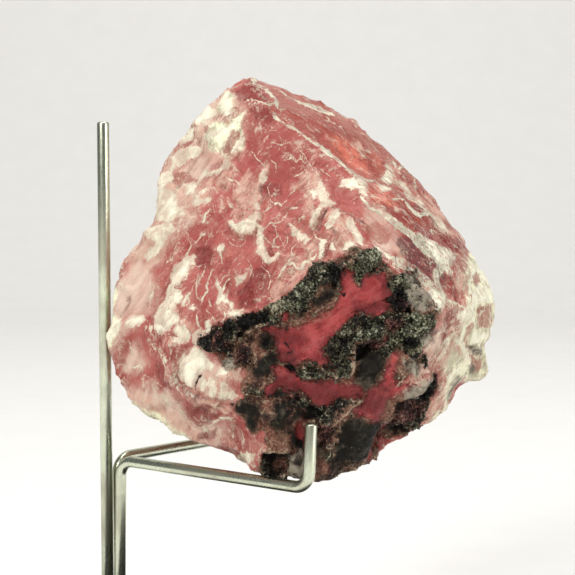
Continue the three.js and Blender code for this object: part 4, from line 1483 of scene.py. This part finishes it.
def frayed_patch_group():
    """1 inside a mark and 0 outside, its edge moved in and out by noise: a smooth step of the
    distance plus Reach times noise from -1 to 1."""
    inputs = {"Distance": "Float", "Place": "Vector", "Size": "Float", "Reach": "Float", "Soft": "Float"}
    group, given, result = node_group("frayed_patch", inputs, {"Mask": "Float"})
    scale = number("DIVIDE", 1.0, given["Size"])
    fray = add_node(group, "TexNoise", {"Vector": given["Place"], "Scale": scale, "Detail": 5.0})
    fray.inputs["Roughness"].default_value = 0.74
    centred = number("MULTIPLY_ADD", fray.outputs[0], 4.0, -2.0)
    moved = number("MULTIPLY_ADD", centred, given["Reach"], given["Distance"])
    low = number("MULTIPLY", given["Soft"], -1.0)
    group.links.new(rise(moved, low, given["Soft"]), result["Mask"])
    return group


def hairline_group():
    """Thin broken lines: where cloudy noise passes through its middle value, and other noise is high."""
    inputs = {"Place": "Vector", "Size": "Float", "Width": "Float", "Share": "Float"}
    group, given, result = node_group("hairlines", inputs, {"Mask": "Float"})
    scale = number("DIVIDE", 1.0, given["Size"])
    sheet = add_node(group, "TexNoise", {"Vector": given["Place"], "Scale": scale, "Detail": 4.0})
    sheet.inputs["Distortion"].default_value = 0.6
    off = number("ABSOLUTE", number("SUBTRACT", sheet.outputs[0], 0.5))
    line = rise(off, 0.0, given["Width"], 1.0, 0.0)
    there = noise(given["Place"], 3.4, 4, 0.6)
    limit = number("SUBTRACT", 1.0, given["Share"])
    kept = rise(there, limit, number("ADD", limit, 0.08))
    group.links.new(number("MULTIPLY", line, kept), result["Mask"])
    return group


def tilted_facet_group():
    """The height of small flat facets that lean every way: one cell per facet, and in each the
    distance from its centre along a direction of its own."""
    inputs = {"Place": "Vector", "Size": "Float"}
    group, given, result = node_group("tilted_facets", inputs, {"Height": "Float"})
    scale = number("DIVIDE", 1.0, given["Size"])
    at = add_node(group, "VectorMath", {0: given["Place"], "Scale": scale}, operation="SCALE").outputs[0]
    cell = add_node(group, "TexVoronoi", {"Vector": at, "Scale": 1.0})
    off = add_node(group, "VectorMath", {0: at, 1: cell.outputs["Position"]}, operation="SUBTRACT")
    middle = (0.5, 0.5, 0.5)
    lean = add_node(group, "VectorMath", {0: cell.outputs["Color"], 1: middle}, operation="SUBTRACT")
    height = add_node(group, "VectorMath", {0: off.outputs[0], 1: lean.outputs[0]}, operation="DOT_PRODUCT")
    group.links.new(number("MULTIPLY", height.outputs["Value"], given["Size"]), result["Height"])
    return group


frayed_patch = frayed_patch_group()
hairlines = hairline_group()
tilted_facets = tilted_facet_group()
stone, stone_tree, shader = new_material(
    "massive_pink_stone",
    IOR=1.434,
    Specular_IOR_Level=0.25,
    Subsurface_Weight=0.12,
    Subsurface_Radius=(1.0, 0.4, 0.32),
    Subsurface_Scale=0.0018,
)
metres = add_node(stone_tree, "TexCoord").outputs["Object"]
place = add_node(stone_tree, "VectorMath", {0: metres, "Scale": 1000.0}, operation="SCALE").outputs[0]


def mark(name):
    """A mark's distance in millimetres, as the mesh holds it."""
    return add_node(stone_tree, "Attribute", attribute_name=name).outputs["Fac"]


def squeezed(rotation, drawing):
    """Places in millimetres, divided by `drawing` along the Z axis of a turned frame."""
    inputs = {"Vector": place, "Rotation": rotation, "Scale": (1, 1, drawing)}
    return add_node(stone_tree, "Mapping", inputs, vector_type="TEXTURE").outputs[0]


falling_here = number("GREATER_THAN", mark("shoulder"), 0.0)


# how the turned frames stand whose Z axes run along the streaks, and along those in the crimson
rising_turn = (0.2, np.radians(20), 0)
falling_turn = (0.2, np.radians(132), 0)
crimson_turn = (0, np.radians(62), 0)


def along_streaks(drawing):
    """Places drawn out along the streaks: rising ones, and falling ones on the shoulder."""
    ways = {4: squeezed(rising_turn, drawing), 5: squeezed(falling_turn, drawing)}
    return add_node(stone_tree, "Mix", {0: falling_here, **ways}, data_type="VECTOR").outputs[1]


streaked = along_streaks(3.4)


def placed(group, inputs):
    """The output of a node group set into the stone's material."""
    return add_node(stone_tree, "Group", inputs, node_tree=group).outputs[0]


def frayed(name, size=2.0, reach=0.5, edge=0.12, along=None, inset=0.0, crumbled=0.0):
    """The mask of a mark, drawn in by `inset` millimetres, frayed, and broken up into specks."""
    distance = number("SUBTRACT", mark(name), inset)
    if crumbled:
        distance = scaled(speckle, crumbled, distance)
    inputs = {"Distance": distance, "Place": along or place, "Size": size, "Reach": reach, "Soft": edge}
    return placed(frayed_patch, inputs)


def cracks(size, width, share, along=None):
    """The mask of fine broken cracks."""
    return placed(hairlines, {"Place": along or place, "Size": size, "Width": width, "Share": share})


def facets(size, along=None):
    """The height of small tilted facets, in millimetres."""
    return placed(tilted_facets, {"Place": along or place, "Size": size})


def times(a, b):
    """One value times another."""
    return number("MULTIPLY", a, b)


def most(a, b):
    """The greater of two values."""
    return number("MAXIMUM", a, b)


def plus(a, b):
    """The sum of two values."""
    return number("ADD", a, b)


def without(share):
    """What a share leaves of 1."""
    return number("SUBTRACT", 1.0, share)


def scaled(value, factor, base):
    """A value times a factor, on a base."""
    return number("MULTIPLY_ADD", value, factor, base)


def layered(colour, *layers):
    """Paints laid one over another, each given as its share and then red, green and blue, or as its
    share and another colour."""
    for share, *tone in layers:
        colour = mixed(share, colour, paint(*tone) if len(tone) == 3 else tone[0])
    return colour


# noise of many sizes, in millimetres, that the colours and the relief share
broad = noise(place, 16, 3)
mottle = noise(place, 5.0, 6, 0.62, 0.5)
milky = noise(streaked, 6.0, 2, 0.45, 0.6)
fine = noise(place, 1.1, 5, 0.7)
brushed = noise(streaked, 2.4, 6, 0.68, 0.4)
threads = noise(streaked, 0.8, 4, 0.75)
hairs = noise(streaked, 0.32, 3, 0.8)
dust = noise(place, 0.4, 3, 0.8)
specks = noise(place, 0.6, 4, 0.85)
spots_near = noise(place, 1.9, 5, 0.75)
clots = noise(place, 4.2, 5, 0.6)
fibres = noise(along_streaks(9.0), 0.6, 3, 0.7)
speckle = scaled(specks, 4.0, -2.0)
wriggle = scaled(noise(place, 1.0, 4, 0.75), 4.0, -2.0)

# the clear pink ground, and the colours that lie in it
# painted shade in the hollows of the relief, and a painted highlight on its raised places
hollow_shade = rise(mark("hollow"), 0.04, 0.4)
raised_highlight = rise(mark("hollow"), -0.05, -0.35)
clouded = without(times(frayed("clear", 3, 1.0, 0.8), 0.8))
cream_share = times(frayed("cream", 4, 1.2, 0.7, streaked), rise(brushed, 0.36, 0.56, 1.0, 0.9))
cream = mixed(rise(brushed, 0.42, 0.54), paint(192, 186, 157), paint(250, 248, 214))
pale_share = times(frayed("pale", 2.4, 1.4, 0.8, streaked), rise(brushed, 0.35, 0.58, 0.2, 0.8))
halo = times(frayed("white", 3.2, 1.6, 1.6, streaked), rise(brushed, 0.35, 0.6, 0.15, 0.6))
grimy = times(times(rise(dust, 0.44, 0.34), rise(mottle, 0.4, 0.6)), clouded)
colour = layered(
    paint(160, 76, 71),
    (rise(broad, 0.38, 0.62), 182, 101, 93),
    (times(rise(mottle, 0.45, 0.75, 0, 0.7), clouded), 204, 146, 132),
    (times(rise(brushed, 0.48, 0.3, 0, 0.65), clouded), 134, 52, 50),
    (times(frayed("salmon", 6, 1.2, 1.2), 0.8), 152, 70, 57),
    (times(frayed("ember", 5, 1.6, 2.0), 0.9), 212, 118, 98),
    (times(falling_here, rise(fibres, 0.47, 0.38, 0, 0.6)), 112, 50, 52),
    (times(frayed("veil", 7, 2.2, 2.4), rise(milky, 0.36, 0.62, 0.35, 0.95)), 226, 200, 182),
    (most(pale_share, halo), 216, 174, 154),
    (cream_share, cream),
    (times(frayed("wine", 2.0, 0.8, 0.4, streaked), rise(brushed, 0.3, 0.6, 0.9, 0.5)), 124, 49, 47),
    (times(frayed("plum", 1.6, 0.6, 0.4, streaked), rise(fibres, 0.6, 0.48, 0.4, 0.85)), 98, 57, 58),
    (times(frayed("rose", 1.8, 0.9, 0.3, streaked), 0.8), 166, 104, 92),
    # darker red: specks at random, and painted shade in the hollows
    (most(grimy, times(hollow_shade, 0.6)), 136, 62, 58),
)

# white: frayed bruises, drawn lines, the edges of plates and facets, cracks of three sizes, dust
step_line = number("FRACT", scaled(fine, 0.12, mark("plate")))
step_edge = times(rise(step_line, 0.0, 0.06, 1.0, 0.0), rise(brushed, 0.5, 0.58))
facet_edge = times(rise(mark("facet"), 0.02, 0.14, 1.0, 0.0), rise(mottle, 0.52, 0.6))
scratched = most(times(cracks(3.0, 0.03, 0.44, streaked), 0.75), times(cracks(1.3, 0.06, 0.43), 0.65))
scratched = times(most(scratched, times(cracks(7.0, 0.014, 0.47), 0.75)), clouded)
edges = most(times(step_edge, 0.6), times(facet_edge, 0.5))
# painted highlight: white on the raised places
edges = most(edges, times(raised_highlight, rise(fine, 0.48, 0.6, 0.0, 0.75)))
strands = plus(times(threads, 0.5), times(hairs, 0.5))
parted = times(falling_here, rise(fibres, 0.5, 0.38, 0, 0.8))
body = times(frayed("white", 1.3, 0.75, 0.08, streaked, 0.1, 0.4), rise(strands, 0.4, 0.5, 0.4, 0.95))
body = times(body, without(parted))
core = times(frayed("white", 2.6, 1.6, 0.9, streaked, 1.1, 0.2), rise(milky, 0.4, 0.56, 0.0, 0.9))
core = times(core, without(times(parted, 0.8)))
flecked = times(frayed("pale", 1.1, 1.6, 0.12, streaked), rise(strands, 0.53, 0.6))
# drawn lines from the white streaks and the ledges; the ledges' lines and the long ridge's line are painted
# highlights
aside = number("ABSOLUTE", scaled(wriggle, 0.26, mark("line_side")))
wide = plus(mark("line_half"), scaled(fine, 0.5, -0.31))
lines = rise(number("SUBTRACT", wide, aside), -0.03, 0.07)
lines = times(lines, rise(mark("line"), -0.55, -0.3))
lines = times(lines, rise(spots_near, 0.4, 0.5, 0.25, 1.0))
crumbs = times(rise(noise(place, 0.7, 4, 0.7), 0.58, 0.66), rise(mottle, 0.5, 0.6))
dusted = most(rise(dust, 0.6, 0.68), rise(hairs, 0.62, 0.7))
dusted = times(dusted, rise(mottle, 0.4, 0.58, 0.25, 0.9))
small = most(most(times(crumbs, 0.5), times(flecked, 0.7)), times(dusted, 0.75))
small = most(small, times(falling_here, rise(fibres, 0.6, 0.68, 0, 0.75)))
white_share = most(most(body, core), most(lines, most(scratched, edges)))
white_share = most(white_share, times(small, clouded))
chalk = layered(
    paint(206, 190, 170),
    (rise(mottle, 0.42, 0.58), 232, 226, 203),
    (times(falling_here, rise(mottle, 0.62, 0.4, 0.2, 0.75)), 174, 172, 152),
    (most(core, times(cream_share, rise(brushed, 0.42, 0.56, 0.1, 0.85))), 251, 250, 228),
)
colour = mixed(white_share, colour, chalk)


# the matrix: the same grit all through, lighter or darker and of other hues from place to place
def gritty(lightness, middle, light, bright):
    """Grit from black through three colours, as the specks plus a lightness pass four levels."""
    value = plus(grit, lightness)
    steps = ((rise(value, 0.41, 0.49), *middle), (rise(value, 0.51, 0.58), *light))
    return layered(paint(5, 5, 3), *steps, (rise(value, 0.60, 0.66), *bright))


grit = plus(times(specks, 0.56), times(spots_near, 0.34))
grit = plus(grit, times(clots, 0.1))
grit = scaled(grit, 1.3, -0.16)
# painted shade and light: the grit darker in the hollows and lighter on the raised places
grit = scaled(mark("hollow"), -0.15, grit)
in_gap = frayed("gap", 1.4, 0.9, 0.5, crumbled=0.5)
# painted shade: the grit darker in the gaps between the grains
grit = scaled(in_gap, -0.16, grit)
ground = gritty(0.065, (80, 57, 42), (142, 112, 90), (214, 190, 164))
ground = layered(ground, (rise(clots, 0.5, 0.6, 0, 0.5), 138, 68, 60))
black_grit = gritty(0.0, (26, 23, 16), (112, 98, 80), (236, 222, 200))
olive_grit = gritty(0.025, (48, 47, 30), (116, 113, 82), (214, 210, 174))
frost_grit = gritty(0.05, (52, 53, 39), (112, 114, 90), (204, 206, 178))
ruddy_grit = gritty(0.025, (48, 20, 18), (112, 60, 56), (198, 152, 140))
dark = layered(
    black_grit,
    (frayed("olive", 3, 1.2, 1.0), olive_grit),
    (frayed("frost", 1.6, 1.1, 0.6, crumbled=0.5), frost_grit),
    (times(frayed("ruddy", 2.0, 1.2, 0.8), 0.85), ruddy_grit),
)
slab_tone = layered(
    paint(8, 7, 3),
    (rise(clots, 0.4, 0.62), 31, 31, 20),
    (rise(mottle, 0.52, 0.4, 0, 0.7), 34, 21, 16),
    (rise(spots_near, 0.52, 0.68, 0, 0.6), 78, 70, 54),
    (times(cracks(2.6, 0.02, 0.5), 0.6), 120, 108, 88),
)
grey = layered(
    paint(84, 73, 62),
    (rise(mottle, 0.42, 0.58), 180, 169, 151),
    (rise(specks, 0.56, 0.64, 0, 0.7), 196, 190, 168),
    (rise(specks, 0.44, 0.36, 0, 0.6), 50, 42, 34),
)
swept = noise(squeezed(crimson_turn, 3.4), 1.6, 5, 0.7)
# painted shade: the crimson darker along its rim, where it lies below the crusts
red_rim_shade = without(frayed("crimson", 1.4, 1.6, 0.8, inset=0.7, crumbled=0.8))
red = layered(
    paint(158, 56, 58),
    (rise(clots, 0.4, 0.62), 186, 80, 80),
    (rise(swept, 0.46, 0.64, 0, 0.5), 188, 98, 96),
    (rise(swept, 0.46, 0.36, 0, 0.5), 112, 32, 34),
    (times(frayed("deep", 2.6, 1.4, 1.4), 0.75), 96, 27, 28),
    (rise(broad, 0.46, 0.34, 0, 0.4), 112, 34, 34),
    (times(red_rim_shade, 0.7), 70, 24, 22),
    (times(rise(specks, 0.56, 0.64), rise(mottle, 0.48, 0.6, 0.15, 0.9)), 48, 16, 14),
)
seam = layered(
    paint(112, 62, 50),
    (rise(mottle, 0.38, 0.62), 166, 114, 94),
    (rise(specks, 0.48, 0.4, 0, 0.6), 52, 32, 25),
    (rise(specks, 0.55, 0.62, 0, 0.7), 216, 190, 164),
)
in_ground = frayed("matrix", 2.6, 1.5, 0.25, crumbled=0.6)
in_slabs = frayed("slab", 2.2, 1.5, 0.8, crumbled=0.3)
in_grey = times(frayed("grey", 1.4, 1.0, 0.6, crumbled=0.3), rise(mottle, 0.35, 0.5, 0.7, 1.0))
in_red = frayed("crimson", 1.8, 1.7, 0.4, crumbled=0.8)
in_dark = frayed("crust", 2.0, 1.5, 0.2, crumbled=0.6)
in_seam = times(frayed("tan", 2.2, 1.6, 1.3, crumbled=0.5), rise(clots, 0.35, 0.6, 0.95, 0.4))
uneven = times(in_ground, scaled(most(in_red, in_seam), -0.7, 1.0))
colour = layered(
    colour,
    (in_ground, ground),
    (in_slabs, slab_tone),
    (in_red, red),
    (in_dark, dark),
    # painted shade: black grit in the gaps between the grains
    (times(in_gap, in_ground), black_grit),
    (times(times(lines, in_ground), 0.75), 204, 196, 166),
    (in_seam, seam),
    (in_grey, grey),
    (times(uneven, rise(mottle, 0.5, 0.36, 0, 0.75)), 12, 9, 6),
    (times(uneven, rise(mottle, 0.54, 0.7, 0, 0.2)), 176, 160, 138),
    (frayed("crack", 0.9, 0.25, 0.12), 22, 12, 10),
)

# chalk and grit are duller than the clear stone
grainy = most(times(in_ground, without(in_red)), in_dark)
gloss = plus(rise(fine, 0.35, 0.65, 0.22, 0.38), times(white_share, 0.25))
gloss = plus(gloss, times(grainy, 0.2))
gloss = number("SUBTRACT", gloss, times(in_red, 0.1))

# threads, plate steps and tilted facets in millimetres, and coarser grit in the matrix
relief = times(threads, scaled(body, -0.14, 0.22))
relief = scaled(brushed, 0.55, relief)
relief = scaled(step_line, -0.16, relief)
relief = scaled(white_share, 0.07, relief)
relief = plus(times(facets(1.9, streaked), 0.5), relief)
relief = scaled(facets(0.7), scaled(body, -0.14, 0.2), relief)
relief = scaled(times(facets(0.8), grainy), 1.2, relief)
relief = scaled(times(specks, grainy), 0.9, relief)
dress(shader, colour, gloss, relief, 0.001, 0.85)

pink_stone = show("pink_stone", stone_mesh, stone)
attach(pink_stone, "root")
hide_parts("fluorite_lump")

# ---- Loose grains on the matrix --------------------------------------------------------------
# Angular grains of the dark minerals, and a few pale ones, stand on the crusts and in the ground
# round them. They grew there, each sunk by about a third into what it stands on.
grain_count = 11000
grain_radius = (0.16, 0.52)  # least and greatest, in millimetres
random = np.random.default_rng(11)


def angular_grains(centres, radii):
    """Small blocks with eight corners and six faces: each corner of a cube moved by chance, the
    whole squeezed along one edge by chance, turned by chance, and set at its centre."""
    count = len(centres)
    signs = np.array(list(np.ndindex(2, 2, 2))) * 2.0 - 1
    corners = signs * (0.58 + random.uniform(-0.2, 0.2, (count, 8, 3)))
    corners *= random.uniform(0.6, 1.1, (count, 1, 3))
    turns = np.linalg.qr(random.normal(size=(count, 3, 3)))[0]
    turns *= np.linalg.det(turns)[:, None, None]
    corners = np.einsum("nij,nkj->nki", turns, corners) * radii[:, None, None]
    sides = [(0, 1, 3, 2), (4, 6, 7, 5), (0, 4, 5, 1), (2, 3, 7, 6), (0, 2, 6, 4), (1, 5, 7, 3)]
    faces = np.array(sides) + 8 * np.arange(count)[:, None, None]
    return (corners + centres[:, None]).reshape(-1, 3), faces.reshape(-1, 4)


presence = in_crust + 0.3 * in_matrix * (1 - in_crimson) * (1 - in_slab) + 0.06 * in_slab
presence *= 1 - 0.7 * soft(np.maximum(marks["tan"], marks["grey"]), -0.6, 0.2)
chances = presence[quads].mean(1) ** 1.5
home = random.choice(len(quads), grain_count, p=chances / chances.sum())
shares = random.dirichlet((1, 1, 1, 1), grain_count)[..., None]
stone_normals = outward_normals(points, quads)
feet = (points[quads[home]] * shares).sum(1)
outward = (stone_normals[quads[home]] * shares).sum(1)
radii = grain_radius[0] + (grain_radius[1] - grain_radius[0]) * random.beta(1.2, 2.6, grain_count)
corners, faces = angular_grains(feet + outward * (0.2 * radii)[:, None], radii)
grain_mesh = bpy.data.meshes.new("matrix_grains")
grain_mesh.from_pydata((corners / 1000).tolist(), [], faces.tolist())
at_home = {name: soft(marks[name][quads[home, 0]], -0.8, 0.8) for name in ("olive", "frost", "gap", "ruddy")}
lightness = random.uniform(0, 1, grain_count) + 0.9 * clouds(feet, 2.6, 71, 3)
# grains lighter where olive and frosted; painted shade makes them darker in the gaps
lightness += 0.1 * at_home["olive"] + 0.24 * at_home["frost"] - 0.6 * at_home["gap"]
keep_on(grain_mesh, {"lightness": np.repeat(lightness, 8), "ruddy": np.repeat(at_home["ruddy"], 8)})

grain_stuff, tree, shader = new_material("angular_dark_grains", IOR=1.5, Specular_IOR_Level=0.25)
place = add_node(tree, "TexCoord").outputs["Object"]
light_here = add_node(tree, "Attribute", attribute_name="lightness").outputs["Fac"]
ruddy_here = add_node(tree, "Attribute", attribute_name="ruddy").outputs["Fac"]
clouded = noise(place, 0.0004, 3, 0.7)
patchy = rise(clouded, 0.35, 0.65)
black = mixed(patchy, paint(6, 6, 4), paint(24, 22, 15))
green = mixed(patchy, paint(60, 58, 42), paint(104, 102, 80))
pale = mixed(patchy, paint(118, 118, 94), paint(182, 182, 156))
dusky = mixed(rise(light_here, 0.3, 1.0), paint(30, 12, 11), paint(128, 74, 68))
shade = layered(
    black,
    (rise(light_here, 0.5, 0.75), green),
    (rise(light_here, 0.95, 1.2), pale),
    (times(ruddy_here, 0.8), dusky),
)
dress(shader, shade, rise(clouded, 0.3, 0.7, 0.3, 0.5), clouded, 0.00008, 0.6)

matrix_grains = show("matrix_grains", grain_mesh, grain_stuff)
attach(matrix_grains, "root")
